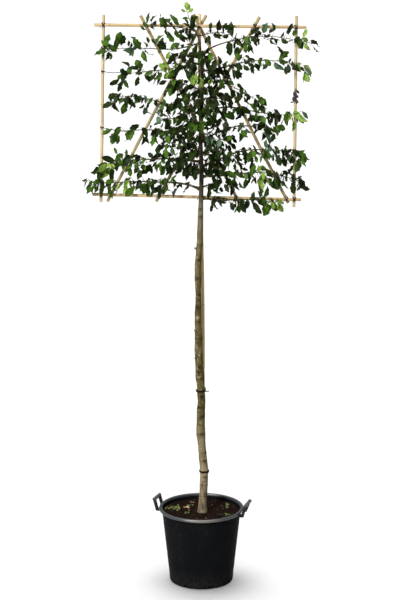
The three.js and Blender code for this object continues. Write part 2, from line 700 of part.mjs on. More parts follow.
// Leaf with its twig: a three-sided spike whose rings are the root, the neck where the blade
// starts, the blade's widest line with its keel, and the tip. A leaf without a twig has no neck
// and widens from its root.
function leafGeometry(leaf) {
  const stalk = leaf.neck.clone().sub(leaf.root).normalize();
  const stalkOver = leaf.normal.clone().addScaledVector(stalk, -leaf.normal.dot(stalk)).normalize();
  const waist = leaf.neck.clone().addScaledVector(leaf.direction, leaf.length * LEAF_WIDEST);
  const tip = leaf.neck.clone().addScaledVector(leaf.direction, leaf.length);
  const wide = (leaf.length * LEAF_ASPECT) / 2 / SIXTY_SINE;
  const rings = [
    { centre: leaf.root, along: stalk, over: stalkOver, high: leaf.girth, wide: leaf.girth },
    { centre: waist, along: leaf.direction, over: leaf.normal, high: LEAF_KEEL, wide },
    { centre: tip, along: leaf.direction, over: leaf.normal, high: 0, wide: 0 },
  ];
  if (leaf.hasTwig) {
    const neck = { centre: leaf.neck, high: TWIG_TIP_RADIUS, wide: TWIG_TIP_RADIUS };
    rings.splice(1, 0, { ...neck, along: stalk, over: stalkOver });
  }
  const spans = rings.length - 1;
  const geometry = new THREE.ConeGeometry(1, 1, TWIG_SIDES, spans);
  const position = geometry.attributes.position;
  const point = new THREE.Vector3();
  for (let i = 0; i < position.count; i += 1) {
    point.fromBufferAttribute(position, i);
    const ring = rings[Math.round((point.y + 0.5) * spans)];
    const reach = Math.max(Math.hypot(point.x, point.z), 1e-6);
    const isCentre = reach < 1e-5;
    const sine = isCentre ? 0 : point.x / reach;
    const cosine = isCentre ? 0 : point.z / reach;
    const across = new THREE.Vector3().crossVectors(ring.along, ring.over);
    point.copy(ring.centre);
    point.addScaledVector(across, sine * ring.wide);
    point.addScaledVector(ring.over, cosine * ring.high);
    position.setXYZ(i, point.x, point.y, point.z);
  }
  return geometry;
}

// A leaf on a twig or stalk from root to neck: it turns aside from the twig's way and droops
function leafOn(root, neck, hasTwig, length, aside, droop, random) {
  const way = neck.clone().sub(root).normalize().multiplyScalar(0.75);
  way.x += aside * 0.45 + (random() - 0.5) * 0.6;
  way.y += (random() - 0.5) * 0.8;
  way.z += (random() - 0.5) * 0.6 - droop;
  way.normalize();
  const facing = new THREE.Vector3(random() - 0.5, -0.55 - 0.5 * random(), 0.25 + 0.6 * random());
  const normal = facing.addScaledVector(way, -facing.dot(way)).normalize();
  const size = length * (0.72 + 0.5 * random());
  const girth = hasTwig ? TWIG_RADIUS : TWIG_TIP_RADIUS;
  return { root, neck, hasTwig, girth, direction: way, normal, length: size };
}

// Leaves that keep to a cell, clear of every limb and of each other
class Spray {
  constructor(seed, isInCell) {
    this.random = randomFrom(seed);
    this.isInCell = isInCell;
    this.leaves = [];
    this.taken = [];
  }

  keep(leaf) {
    const samples = leafSamples(leaf);
    if (!samples.every(this.isInCell) || !isClear(samples)) return false;
    if (samples.some((p) => this.taken.some((q) => p.distanceTo(q) < LEAF_SPACING))) return false;
    this.taken.push(...samples);
    this.leaves.push(leaf);
    return true;
  }

  // Side twigs along a stem. At every bud a twig turns away from the stem by the golden angle and
  // ends in a leaf, with more leaves on its sides. One that would leave the cell or touch a limb
  // or a leaf is turned on and shortened, and skipped when it never fits.
  grow(stem) {
    const { random } = this;
    const over = new THREE.Vector3(-stem.out.z, 0, stem.out.x);
    if (over.z < 0) over.negate();
    let turn = random() * 2 * Math.PI;
    let distance = stem.from;
    while (distance < stem.to - 4) {
      const along = (distance - stem.from) / (stem.to - stem.from);
      for (let trial = 0; trial < BUD_TRIALS; trial += 1) {
        const direction = stem.out.clone().multiplyScalar(0.45 + 0.3 * random());
        direction.addScaledVector(over, Math.sin(turn));
        direction.y += Math.cos(turn) * 0.75;
        direction.normalize();
        const shrink = 1 - TRIAL_SHRINK * trial;
        const length = stem.twig * shrink * (0.45 + 0.55 * random()) * (1 - 0.45 * along);
        const root = stem.pointAt(distance);
        const neck = root.clone().addScaledVector(direction, length);
        const end = leafOn(root, neck, true, stem.leaf * shrink, 0, 0.32, random);
        const sides = [];
        for (let k = 1; k < stem.spray; k += 1) {
          const aside = (k % 2 ? 1 : -1) * 0.7;
          const foot = root.clone().lerp(neck, k % 2 ? 0.75 : 0.45);
          const stalk = direction.clone().multiplyScalar(0.6).addScaledVector(stem.out, aside);
          stalk.z += (random() - 0.5) * 0.8;
          const bend = foot.clone().addScaledVector(stalk.normalize(), STALK_LENGTH);
          sides.push(leafOn(foot, bend, false, stem.leaf * 0.9 * shrink, aside, 0.32, random));
        }
        turn += GOLDEN_ANGLE + (random() - 0.5) * 0.6;
        if (this.keep(end)) {
          sides.forEach((leaf) => this.keep(leaf));
          break;
        }
      }
      distance += stem.step * (0.8 + 0.4 * random());
    }
    const foot = stem.pointAt(stem.to - STALK_LENGTH);
    const neck = foot.clone().addScaledVector(stem.out, STALK_LENGTH + 4);
    this.keep(leafOn(foot, neck, true, stem.leaf * 0.8, 0, 0.15, random));
  }
}

function buildShoots() {
  SHOOTS.forEach((shoot, index) => {
    const start = shootStart(shoot);
    const isLeafyFromTrunk = shoot.bare === 0;
    const boughEnd = start + shoot.bare;
    if (!isLeafyFromTrunk) {
      addPiece(`bough_${shoot.name}`, shootLimb(shoot, start, boughEnd, true), 'bark');
    }
    const stemStart = isLeafyFromTrunk ? start : boughEnd + 2 * GAP;
    const spray = new Spray(index + 1, (point) => isInShootCell(shoot, point));
    spray.grow({
      pointAt: (distance) => shootPoint(shoot, distance),
      out: new THREE.Vector3(shoot.side, 0, 0),
      from: boughEnd + BUD_INSET,
      to: shoot.reach,
      step: shoot.step,
      twig: shoot.twig,
      spray: shoot.spray,
      leaf: LEAF_LENGTH,
    });
    const stem = shootLimb(shoot, stemStart, shoot.reach, isLeafyFromTrunk);
    const geometry = toGeometry(join([stem, ...spray.leaves.map(leafGeometry)]));
    addPiece(`foliage_${shoot.name}`, geometry, 'foliage');
  });
}

// Front sprays: shoots that come forward from the trunk and fan out flat in front of the frame
function buildFrontSprays() {
  FRONT_SPRAYS.forEach((front, index) => {
    const spray = new Spray(index + 41, (point) => isInFrontCell(front, point));
    const height = THREE.MathUtils.lerp(front.low, front.high, 0.42);
    const flat = trunkRadius(height) * Math.cos(Math.PI / TRUNK_SIDES);
    const foot = new THREE.Vector3(trunkX(height), trunkY(height) - flat - 2 * GAP, height);
    const fork = new THREE.Vector3(foot.x, FRONT_PLANE - FRONT_FORK, height + 6);
    const line = new THREE.LineCurve3(foot, fork);
    const level = new THREE.Vector3(0, -1, 0);
    const neck = new FunctionCurve((t) => line.getPoint(t), () => level);
    const up = new THREE.Vector3(0, 0, 1);
    const parts = [limbGeometry(neck, (t) => FRONT_GIRTH - t, SHOOT_SIDES, 1, up)];
    for (let k = 0; k < front.arms; k += 1) {
      const angle = (2 * Math.PI * (k + 0.6 * spray.random())) / front.arms;
      const flare = Math.abs(Math.cos(angle));
      const reach = THREE.MathUtils.lerp((front.high - front.low) * 0.36, front.spread, flare * flare);
      const out = new THREE.Vector3(Math.cos(angle), 0, Math.sin(angle));
      const start = fork.clone().addScaledVector(out, -1).add(new THREE.Vector3(0, 2, 0));
      const pointAt = (distance) => {
        const point = start.clone().addScaledVector(out, distance);
        point.y -= FRONT_DEPTH * Math.sin((Math.PI / 2) * Math.min(distance / reach, 1));
        return point;
      };
      const arm = new FunctionCurve((t) => pointAt(t * reach));
      const radiusAt = (t) => THREE.MathUtils.lerp(FRONT_GIRTH - 1.6, SHOOT_TIP_RADIUS, t);
      parts.push(limbGeometry(arm, radiusAt, 4, 2, level));
      spray.grow({ ...FRONT_STEM, pointAt, out, to: reach });
    }
    const geometry = toGeometry(join([...parts, ...spray.leaves.map(leafGeometry)]));
    addPiece(`foliage_${front.name}`, geometry, 'foliage');
  });
}

// Leader: the slender tip that stands above the top cane, with its young leaves
function buildLeader() {
  const random = randomFrom(77);
  const foot = trunkPoint(TRUNK_TOP).add(new THREE.Vector3(0, 0, GAP));
  const crest = foot.clone().add(new THREE.Vector3(LEADER.lean, 0, LEADER.height));
  const line = new THREE.LineCurve3(foot, crest);
  const curve = new FunctionCurve(
    (t) => line.getPoint(t),
    (t) => (t < 0.01 ? new THREE.Vector3(0, 0, 1) : line.getTangent(t)),
  );
  const radiusAt = (t) => THREE.MathUtils.lerp(LEADER.girth, SHOOT_TIP_RADIUS, t);
  const parts = [limbGeometry(curve, radiusAt, SHOOT_SIDES, 3, new THREE.Vector3(0, 1, 0))];
  for (let k = 0; k < LEADER.leaves; k += 1) {
    const root = foot.clone().lerp(crest, 0.42 + (0.52 * k) / (LEADER.leaves - 1));
    const angle = k * GOLDEN_ANGLE;
    const way = new THREE.Vector3(Math.cos(angle), 0.6 * Math.sin(angle), 0.5).normalize();
    const neck = root.clone().addScaledVector(way, STALK_LENGTH);
    parts.push(leafGeometry(leafOn(root, neck, true, LEADER.leaf, 0, -0.1, random)));
  }
  const neck = crest.clone().add(new THREE.Vector3(-2, 0, 5));
  const root = foot.clone().lerp(crest, 0.9);
  parts.push(leafGeometry({
    root,
    neck,
    hasTwig: true,
    girth: TWIG_TIP_RADIUS,
    direction: new THREE.Vector3(0.1, 0, 1).normalize(),
    normal: new THREE.Vector3(0, -1, 0),
    length: LEADER.leaf,
  }));
  addPiece('foliage_leader', toGeometry(join(parts)), 'foliage');
}

// Withered leaves: a curled bundle in front of the right upright, hung from one dry twig
function buildWithered() {
  const random = randomFrom(91);
  const cane = STRAIGHT_CANES[3];
  const t = (WITHERED.high - cane.from[2]) / (cane.to[2] - cane.from[2]);
  const x = THREE.MathUtils.lerp(cane.from[0], cane.to[0], t);
  const y = UPRIGHT_DEPTH - CANE_RADIUS - WITHERED.girth;
  const top = new THREE.Vector3(x, y, WITHERED.high);
  const foot = new THREE.Vector3(x - 1, y, WITHERED.low + 10);
  const line = new THREE.LineCurve3(top, foot);
  const parts = [limbGeometry(line, () => WITHERED.girth, SHOOT_SIDES, 1, new THREE.Vector3(0, 1, 0))];
  for (let k = 0; k < WITHERED.leaves; k += 1) {
    const angle = (k * GOLDEN_ANGLE) % Math.PI;
    const way = new THREE.Vector3(Math.cos(angle) * 0.7, -0.45 * Math.sin(angle) - 0.2, -0.4);
    way.normalize();
    const root = top.clone().lerp(foot, (k + 0.3) / WITHERED.leaves);
    const neck = root.clone().addScaledVector(way, 9);
    parts.push(leafGeometry(leafOn(root, neck, true, WITHERED.leaf, 0, 0.5, random)));
  }
  addPiece('foliage_withered', toGeometry(join(parts)), 'withered');
}

buildPot();
buildSoil();
for (const [name, degrees] of Object.entries(HANDLE_ANGLES)) buildHandle(name, degrees);
buildTrunk();
buildCanes();
for (const [name, height] of Object.entries(TIE_HEIGHTS)) buildTie(name, height);
collectObstacles();
buildShoots();
buildFrontSprays();
buildLeader();
buildWithered();

export default tree;
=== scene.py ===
"""Potted espaliered Persian ironwood, dressed for the camera.

A clear-stemmed tree whose crown is trained flat on a frame of bamboo canes, standing in a round
black nursery container. Metres, +Z up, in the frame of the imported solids: the origin is the
centre of the container's flat underside, the flat crown lies along X and its front looks along
-Y. Sizes in the tables are millimetres, and MM turns them into metres.
"""

import logging
from dataclasses import dataclass, field
from enum import Enum
from math import acos, atan2, cos, dist, exp, hypot, pi, radians, remainder, sin, sqrt
from random import Random
from typing import Callable, Iterable, Sequence

import bmesh
import bpy
import numpy as np
from bmesh import ops
from bmesh.types import BMesh, BMFace, BMLayerItem, BMVert
from bpy.types import ID, Material, Mesh, Node, NodeSocket as Socket, Object
from mathutils import Matrix, Vector
from mathutils.noise import noise

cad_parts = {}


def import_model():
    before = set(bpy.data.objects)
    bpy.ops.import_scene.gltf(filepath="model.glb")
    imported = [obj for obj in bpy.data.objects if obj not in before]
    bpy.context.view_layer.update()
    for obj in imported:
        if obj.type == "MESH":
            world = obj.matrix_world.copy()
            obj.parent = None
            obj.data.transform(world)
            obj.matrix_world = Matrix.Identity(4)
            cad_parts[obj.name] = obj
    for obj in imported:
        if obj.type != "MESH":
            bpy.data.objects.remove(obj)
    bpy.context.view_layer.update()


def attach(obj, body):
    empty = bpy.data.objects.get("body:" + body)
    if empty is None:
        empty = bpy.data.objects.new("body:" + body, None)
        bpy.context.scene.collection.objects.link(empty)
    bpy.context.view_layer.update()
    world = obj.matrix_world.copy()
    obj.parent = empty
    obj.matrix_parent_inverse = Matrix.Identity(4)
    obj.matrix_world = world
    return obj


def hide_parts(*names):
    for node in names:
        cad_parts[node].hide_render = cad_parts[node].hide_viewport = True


log = logging.getLogger("ironwood")
Pair = tuple[float, float]
Triple = tuple[float, float, float]

MM = 0.001
TAU = 2 * pi
GOLDEN_ANGLE = radians(137.5)

LEFT, RIGHT = -1, 1
UP = Vector((0, 0, 1))

# Container and soil, in millimetres
POT_HEIGHT = 470.0
RIM_RADIUS = 260.0
RIM_BASE = 452.0
NECK_RADIUS = 243.0
FOOT_RADIUS = 195.0
FOOT_CHAMFER = 7.0
POT_WALL = 4.0
POT_FLOOR = 6.0
SOIL_LEVEL = 436.0

# Depths of the frame behind the trunk's centre, in millimetres
CANE_RADIUS = 9.0
CENTRE_CANE_RADIUS = 10.0
CROSS_DEPTH = 23.6
UPRIGHT_DEPTH = 42.2
CENTRE_DEPTH = 42.9
BEHIND_CENTRE = 62.5
BEHIND_SLANT = 81.1

# Trunk stations: height, sway along X, sway along Y, radius
TRUNK_STATIONS = (
    (436.3, 6, 0, 30), (480, 7, 0, 26.5), (595, 14, 0, 23), (700, 17, 0, 22.8), (810, 7, 0, 22.2),
    (990, -3, 0, 23.4), (1190, -3, 0, 22.2), (1420, -14, 0, 20.4), (1650, -20, 0, 18.6),
    (1980, -20, 0, 17.6), (2200, -8, 0, 16), (2400, -3, 0, 13.8), (2560, 1, 0, 12.6), (2800, -5, 1, 11),
    (3100, 7, 3, 9), (3260, -5, 4, 7.6), (3360, -18, 4, 6.2), (3425, -52, 2, 4.6),
)


def smooth_column(rows: Sequence[Sequence[float]], column: int, height: float) -> float:
    """Reads one column of a table along a smooth curve.

    Args:
        rows: Table whose rows start with a rising height.
        column: Column to read.
        height: Height to read it at.

    Returns:
        The column's value there.
    """
    last = len(rows) - 1
    k = 0
    while k < last - 1 and height > rows[k + 1][0]:
        k += 1

    def slope(i: int) -> float:
        """Slope of the curve at a row."""
        low, high = max(i - 1, 0), min(i + 1, last)
        return (rows[high][column] - rows[low][column]) / (rows[high][0] - rows[low][0])

    span = rows[k + 1][0] - rows[k][0]
    s = min(max((height - rows[k][0]) / span, 0.0), 1.0)
    s2, s3 = s * s, s * s * s
    return (
        (2 * s3 - 3 * s2 + 1) * rows[k][column]
        + (s3 - 2 * s2 + s) * span * slope(k)
        + (3 * s2 - 2 * s3) * rows[k + 1][column]
        + (s3 - s2) * span * slope(k + 1)
    )


def lerp(a: float, b: float, t: float) -> float:
    """Value between two others, at a share t of the way."""
    return a + (b - a) * t


def clamp(value: float, low: float = 0.0, high: float = 1.0) -> float:
    """Value kept between two limits."""
    return min(max(value, low), high)


def bell(offset: float, width: float) -> float:
    """Height of a smooth bump of height 1 at an offset from its centre."""
    return exp(-((offset / width) ** 2))


def colour(code: str) -> tuple[float, float, float, float]:
    """Turns a six-digit display colour into the linear one that a shader wants.

    Args:
        code: Red, green and blue as hexadecimal digits.

    Returns:
        Linear red, green, blue and an opaque alpha.
    """
    channels = []
    for i in (0, 2, 4):
        share = int(code[i : i + 2], 16) / 255
        channels.append(share / 12.92 if share <= 0.04045 else ((share + 0.055) / 1.055) ** 2.4)
    return (channels[0], channels[1], channels[2], 1.0)


class NodeGraph:
    """Node tree of a material or a sky, with short ways to add and join its nodes."""

    def __init__(self, owner: ID) -> None:
        """Turns on the nodes of a new material or sky."""
        self.owner = owner
        owner.use_nodes = True
        self.tree = owner.node_tree

    def feed(self, socket: Socket, value: object) -> None:
        """Joins a socket to another one, or sets it to a plain value."""
        if isinstance(value, Socket):
            self.tree.links.new(value, socket)
        else:
            socket.default_value = value

    def add(self, kind: str, inputs: dict, **settings: object) -> Node:
        """Adds a node.

        Args:
            kind: The node's type, without the word that all types start with.
            inputs: Values or sockets for its inputs, by name or number.
            settings: Properties to set on the node.

        Returns:
            The node.
        """
        node = self.tree.nodes.new("ShaderNode" + kind)
        for key, value in settings.items():
            setattr(node, key, value)
        for key, value in inputs.items():
            self.feed(node.inputs[key], value)
        return node

    def axis(self, name: str, space: str = "Object") -> Socket:
        """One coordinate, X, Y or Z, in metres or on the piece's own map."""
        return self.add("SeparateXYZ", {0: self.add("TexCoord", {}).outputs[space]}).outputs[name]

    def noise(
        self, scale: float, detail: float = 3.0, rough: float = 0.55,
        stretch: Sequence[float] = (1, 1, 1), space: str = "Object",
    ) -> Socket:
        """Noise between 0 and 1.

        Args:
            scale: Lumps to the metre.
            detail: Finer layers that it has.
            rough: Strength of the finer layers.
            stretch: How much denser it is along each axis.
            space: Object for coordinates in metres, UV for the piece's own map.

        Returns:
            The noise's socket.
        """
        source = self.add("TexCoord", {}).outputs[space]
        vector = self.add("Mapping", {"Vector": source, "Scale": stretch}).outputs["Vector"]
        inputs = {"Vector": vector, "Scale": scale, "Detail": detail, "Roughness": rough}
        return self.add("TexNoise", inputs).outputs["Fac"]

    def attribute(self, name: str) -> Socket:
        """One of the piece's own attributes, as a number."""
        return self.add("Attribute", {}, attribute_name=name).outputs["Fac"]

    def remap(
        self, value: Socket, low: float, high: float, to_low: float = 0.0, to_high: float = 1.0
    ) -> Socket:
        """Value carried from one range to another, and kept inside it."""
        inputs = {"Value": value, "From Min": low, "From Max": high, "To Min": to_low, "To Max": to_high}
        return self.add("MapRange", inputs, clamp=True).outputs["Result"]

    def sum(self, kind: str, a: object, b: object = 0.0) -> Socket:
        """One step of arithmetic on one or two numbers."""
        return self.add("Math", {0: a, 1: b}, operation=kind).outputs[0]

    def times(self, a: object, b: object) -> Socket:
        """Product of two numbers."""
        return self.sum("MULTIPLY", a, b)

    def plus(self, a: object, b: object) -> Socket:
        """Sum of two numbers."""
        return self.sum("ADD", a, b)

    def paint(self, tone: object, layers: Iterable[tuple[object, str]]) -> Socket:
        """Lays colours over a tone, one after the other.

        Args:
            tone: Colour or socket underneath.
            layers: Each layer's cover, 0 to 1, and its colour code.

        Returns:
            The last layer's socket.
        """
        for share, code in layers:
            inputs = {0: share, 6: tone, 7: colour(code)}
            tone = self.add("Mix", inputs, data_type="RGBA", blend_type="MIX").outputs[2]
        return tone

    def ramp(self, share: Socket, stops: Sequence[tuple[float, str]]) -> Socket:
        """Colour read from a ramp.

        Args:
            share: Where to read it, 0 to 1.
            stops: Position and colour code of its two stops.

        Returns:
            The colour's socket.
        """
        node = self.add("ValToRGB", {"Fac": share})
        for element, (position, code) in zip(node.color_ramp.elements, stops):
            element.position = position
            element.color = colour(code)
        return node.outputs["Color"]

    def finish(
        self, tone: object, roughness: object, gloss: float, relief: Socket | None = None,
        depth: float = 0.0, strength: float = 1.0,
    ) -> Material:
        """Dresses the shader.

        Args:
            tone: Base colour.
            roughness: Roughness, as a number or a socket.
            gloss: Strength of the plain reflections.
            relief: Height of the surface's relief, or None where it is smooth.
            depth: Depth of the relief in metres.
            strength: Share of the relief that shows.

        Returns:
            The finished material.
        """
        shader = self.tree.nodes["Principled BSDF"]
        self.feed(shader.inputs["Base Color"], tone)
        self.feed(shader.inputs["Roughness"], roughness)
        shader.inputs["Specular IOR Level"].default_value = gloss
        if relief is not None:
            bump = self.add("Bump", {"Height": relief, "Distance": depth, "Strength": strength})
            self.feed(shader.inputs["Normal"], bump.outputs["Normal"])
        return self.owner


def finish_graph(name: str) -> NodeGraph:
    """Starts the nodes of a new material."""
    return NodeGraph(bpy.data.materials.new(name))


@dataclass(frozen=True)
class MouldedPlastic:
    """Black moulded plastic, dulled by weather, with pale scuffs and dust, where asked a painted highlight on
    the rim's front, and a paler top that is partly wear and partly painted highlight.
    """

    name: str
    base: str
    scuff: str
    roughness: float
    scuffing: float
    gloss: float
    dust_line: float = 0.0
    # Share of a painted highlight laid on the front of the rim.
    front_highlight_paint: float = 0.0
    # Height above which the top grows paler: partly wear, partly painted highlight.
    wear_and_highlight_above: float = 0.0

    def material(self) -> Material:
        """Builds the plastic's material."""
        graph = finish_graph(self.name)
        height = graph.axis("Z")
        grain = graph.noise(900.0, 2.0)
        cloud = graph.noise(9.0, 5.0, 0.62, (1, 1, 0.45))
        streak = graph.noise(1.0, 4.0, 0.55, (5, 5, 46))
        fine = graph.noise(55.0, 5.0, 0.7, (1, 1, 3.5))
        wear = graph.times(graph.remap(cloud, 0.48, 0.75), graph.remap(fine, 0.5, 0.72))
        wear = graph.plus(wear, graph.remap(streak, 0.62, 0.9, 0.0, 0.35))
        if self.dust_line:
            splash = graph.remap(height, self.dust_line, 0.0, 0.0, 0.9)
            wear = graph.plus(wear, graph.times(splash, graph.remap(fine, 0.42, 0.68)))
        layers = [(graph.remap(wear, 0.0, 1.0, 0.0, self.scuffing), self.scuff)]
        # Painted highlight: a paler patch on the rim's front, toward -Y, where the light glints.
        if self.front_highlight_paint:
            layers.append((graph.remap(graph.axis("Y"), -0.23, -0.262, 0.0, self.front_highlight_paint), "b5aa99"))
        # The top of the handle's grip made paler: partly wear, partly painted highlight from above.
        if self.wear_and_highlight_above:
            rise = graph.remap(height, self.wear_and_highlight_above, self.wear_and_highlight_above + 0.016, 0.0, 0.34)
            layers.append((rise, "6d6f71"))
        rough = graph.remap(cloud, 0.3, 0.75, self.roughness - 0.07, self.roughness + 0.12)
        relief = graph.plus(graph.times(grain, 0.35), graph.times(fine, 0.65))
        return graph.finish(graph.paint(colour(self.base), layers), rough, self.gloss, relief, 0.0007, 0.5)


@dataclass(frozen=True)
class Compost:
    """Moist potting compost: dark brown, broken up, with paler fibres."""

    name: str
    dark: str
    brown: str
    pale: str

    def material(self) -> Material:
        """Builds the compost's material."""
        graph = finish_graph(self.name)
        fine = graph.noise(240.0, 4.0, 0.7)
        place = graph.add("TexCoord", {}).outputs["Object"]
        crumbs = graph.add("TexVoronoi", {"Vector": place, "Scale": 330.0}).outputs["Distance"]
        tone = graph.ramp(graph.noise(26.0, 5.0, 0.65), [(0.32, self.dark), (0.62, self.brown)])
        tone = graph.paint(tone, [(graph.remap(fine, 0.66, 0.76, 0.0, 0.55), self.pale)])
        return graph.finish(tone, 0.94, 0.06, graph.plus(crumbs, fine), 0.004, 0.9)


@dataclass(frozen=True)
class Bark:
    """Smooth young bark: grey-olive and flecked, green with algae in the middle of the stem, and where asked
    darkened at the top by a painted shadow of the crown.
    """

    name: str
    grey: str
    tan: str
    algae: str
    scar: str
    algae_low: float
    algae_high: float
    upper: str
    crust: str = "9d9774"
    # Dark film colour: partly damp, partly painted shade on the trunk's front-right side.
    damp_and_shade: str = "372b05"
    foot: str = "7f6c58"
    weathered: str = "5f5a4e"
    # Strength of the painted shadow of the crown at the top of the trunk.
    crown_shadow_paint: float = 0.0

    def material(self) -> Material:
        """Builds the bark's material. The piece's scar attribute darkens knots and cuts."""
        graph = finish_graph(self.name)
        height = graph.axis("Z")
        broad = graph.noise(20.0, 4.0, 0.6, (1, 1, 0.35))
        flake = graph.noise(95.0, 5.0, 0.68, (1, 1, 0.5))
        fleck = graph.noise(210.0, 3.0, 0.6, (1, 1, 2.6))
        rise = graph.remap(height, self.algae_low, self.algae_low + 0.45)
        fall = graph.remap(height, self.algae_high - 0.5, self.algae_high, 1.0, 0.0)
        patch = graph.remap(graph.noise(14.0, 4.0, 0.55, (1, 1, 0.25)), 0.36, 0.62)
        film = graph.times(graph.times(rise, fall), patch)
        cloud = graph.remap(graph.noise(11.0, 3.0, 0.55, (1, 1, 0.4)), 0.38, 0.6, 0.15, 0.8)
        raised = graph.times(graph.remap(height, 0.55, 1.1), cloud)
        bare = graph.remap(height, 2.15, 2.4, 1.0, 0.25)
        blotch = graph.noise(26.0, 5.0, 0.66, (1, 1, 0.4))
        crust = graph.remap(graph.noise(60.0, 4.0, 0.6, (1, 1, 0.8)), 0.55, 0.68)
        layers = [
            (graph.remap(flake, 0.35, 0.7, 0.0, 0.55), self.grey),
            (graph.times(film, 0.72), self.algae),
            (graph.times(raised, bare), self.upper),
            (graph.remap(height, 0.78, 0.6, 0.0, 0.55), self.foot),
            (graph.remap(blotch, 0.5, 0.64, 0.0, 0.66), self.scar),
            (graph.times(crust, graph.remap(height, 0.7, 1.1, 0.2, 0.6)), self.crust),
        ]
        if self.crown_shadow_paint:
            layers.append((graph.remap(height, 2.12, 2.25, 0.0, 0.5), self.weathered))
            # Painted shadow of the crown: the bark darkens to the scar colour from 2.32 m to 2.42 m.
            layers.append((graph.remap(height, 2.32, 2.42, 0.0, self.crown_shadow_paint), self.scar))
        layers.append((graph.remap(fleck, 0.6, 0.78, 0.0, 0.45), self.scar))
        # The trunk's film attribute lays the dark film: partly damp, partly painted shade.
        layers.append((graph.attribute("film"), self.damp_and_shade))
        layers.append((graph.times(graph.attribute("scar"), 0.82), self.scar))
        tone = graph.paint(graph.ramp(broad, [(0.34, self.grey), (0.64, self.tan)]), layers)
        relief = graph.plus(flake, graph.times(fleck, 0.6))
        return graph.finish(tone, graph.remap(flake, 0.3, 0.7, 0.72, 0.92), 0.08, relief, 0.0022, 0.9)


@dataclass(frozen=True)
class Bamboo:
    """Dry split-free bamboo: cream to tan, streaked along its length, dark at its joints."""

    name: str
    cream: str
    tan: str
    stain: str
    staining: float
    aged_below: float = 0.0

    def material(self) -> Material:
        """Builds the cane's material. The piece's map runs round and along it in metres."""
        graph = finish_graph(self.name)
        streak = graph.noise(1.0, 5.0, 0.6, (30, 5, 1), "UV")
        broad = graph.noise(1.0, 3.0, 0.55, (2.2, 4.5, 1), "UV")
        speck = graph.noise(1.0, 4.0, 0.7, (40, 130, 1), "UV")
        layers = [
            (graph.remap(broad, 0.4, 0.72, 0.0, self.staining), self.stain),
            (graph.remap(speck, 0.62, 0.72, 0.0, 0.5), self.stain),
        ]
        if self.aged_below:
            aged = graph.remap(graph.axis("Z"), self.aged_below, self.aged_below + 0.5, 0.42, 0.0)
            layers.append((aged, self.stain))
        # The scar attribute darkens the joints, and lays painted shade in the bores of the cut ends.
        layers.append((graph.attribute("scar"), "4a3a24"))
        tone = graph.paint(graph.ramp(streak, [(0.3, self.tan), (0.66, self.cream)]), layers)
        return graph.finish(tone, graph.remap(broad, 0.3, 0.7, 0.4, 0.62), 0.5, streak, 0.0005, 0.6)


@dataclass(frozen=True)
class Foliage:
    """One tint of leaf: glossy above, dull and paler beneath, with pale veins."""

    name: str
    upper: str
    varied: str
    under: str
    vein: str
    roughness: float = 0.42

    def material(self) -> Material:
        """Builds the leaf's material. The piece's map runs across and along each blade."""
        graph = finish_graph(self.name)
        mottle = graph.noise(150.0, 3.0, 0.6)
        under = graph.attribute("under")
        aside = graph.sum("ABSOLUTE", graph.sum("SUBTRACT", graph.axis("X", "UV"), 0.5))
        midrib = graph.remap(aside, 0.012, 0.045, 1.0, 0.0)
        slant = graph.sum("SUBTRACT", graph.axis("Y", "UV"), graph.times(aside, 0.55))
        wave = graph.sum("ABSOLUTE", graph.sum("SINE", graph.times(slant, 22.0)))
        veins = graph.sum("MAXIMUM", midrib, graph.remap(wave, 0.03, 0.16, 0.75, 0.0))
        tone = graph.ramp(graph.noise(22.0, 3.0, 0.6), [(0.42, self.upper), (0.6, self.varied)])
        layers = [
            (graph.remap(mottle, 0.4, 0.75, 0.0, 0.3), self.varied),
            (under, self.under),
            (graph.times(veins, 0.5), self.vein),
        ]
        rough = graph.plus(graph.times(under, 0.3), self.roughness)
        relief = graph.sum("SUBTRACT", mottle, veins)
        return graph.finish(graph.paint(tone, layers), rough, 0.06, relief, 0.0008, 0.5)


@dataclass(frozen=True)
class Plain:
    """A small part's finish: one tone clouded with another, and a fine grain."""

    name: str
    base: str
    varied: str
    roughness: float
    gloss: float = 0.5

    def material(self) -> Material:
        """Builds the material."""
        graph = finish_graph(self.name)
        tone = graph.ramp(graph.noise(50.0, 4.0, 0.6), [(0.35, self.base), (0.68, self.varied)])
        return graph.finish(tone, self.roughness, self.gloss, graph.noise(400.0, 3.0, 0.6), 0.0006, 0.6)


POT_PLASTIC = MouldedPlastic("pot_plastic", "0c0d0f", "403f39", 0.5, 0.42, 0.01, 0.12)
# The rim: a paler base and heavier scuffing than the wall, partly weathered plastic and partly painted
# reflection of the sky on its top.
RIM_PLASTIC = MouldedPlastic("rim_plastic", "212428", "55585a", 0.37, 0.7, 0.6, 0.0, 0.2)
HANDLE_PLASTIC = MouldedPlastic("handle_plastic", "090a0c", "2c2e32", 0.4, 0.6, 0.25, wear_and_highlight_above=0.5)
COMPOST = Compost("compost", "070302", "190c06", "453019")
BARK = Bark("bark", "645c47", "948867", "504b12", "0e0b05", 0.8, 2.75, "363013", crown_shadow_paint=0.74)
SHOOT_BARK = Bark("shoot_bark", "2c241a", "3f3426", "363418", "120d08", 2.0, 4.6, "2a2214")
CREAM_CANE = Bamboo("cream_cane", "b4a47c", "887857", "56482e", 0.35)
TAN_CANE = Bamboo("tan_cane", "b29a6b", "846c45", "4a381e", 0.45)
GOLD_CANE = Bamboo("gold_cane", "cdb988", "a98f5c", "7a5e2c", 0.3, 2.3)
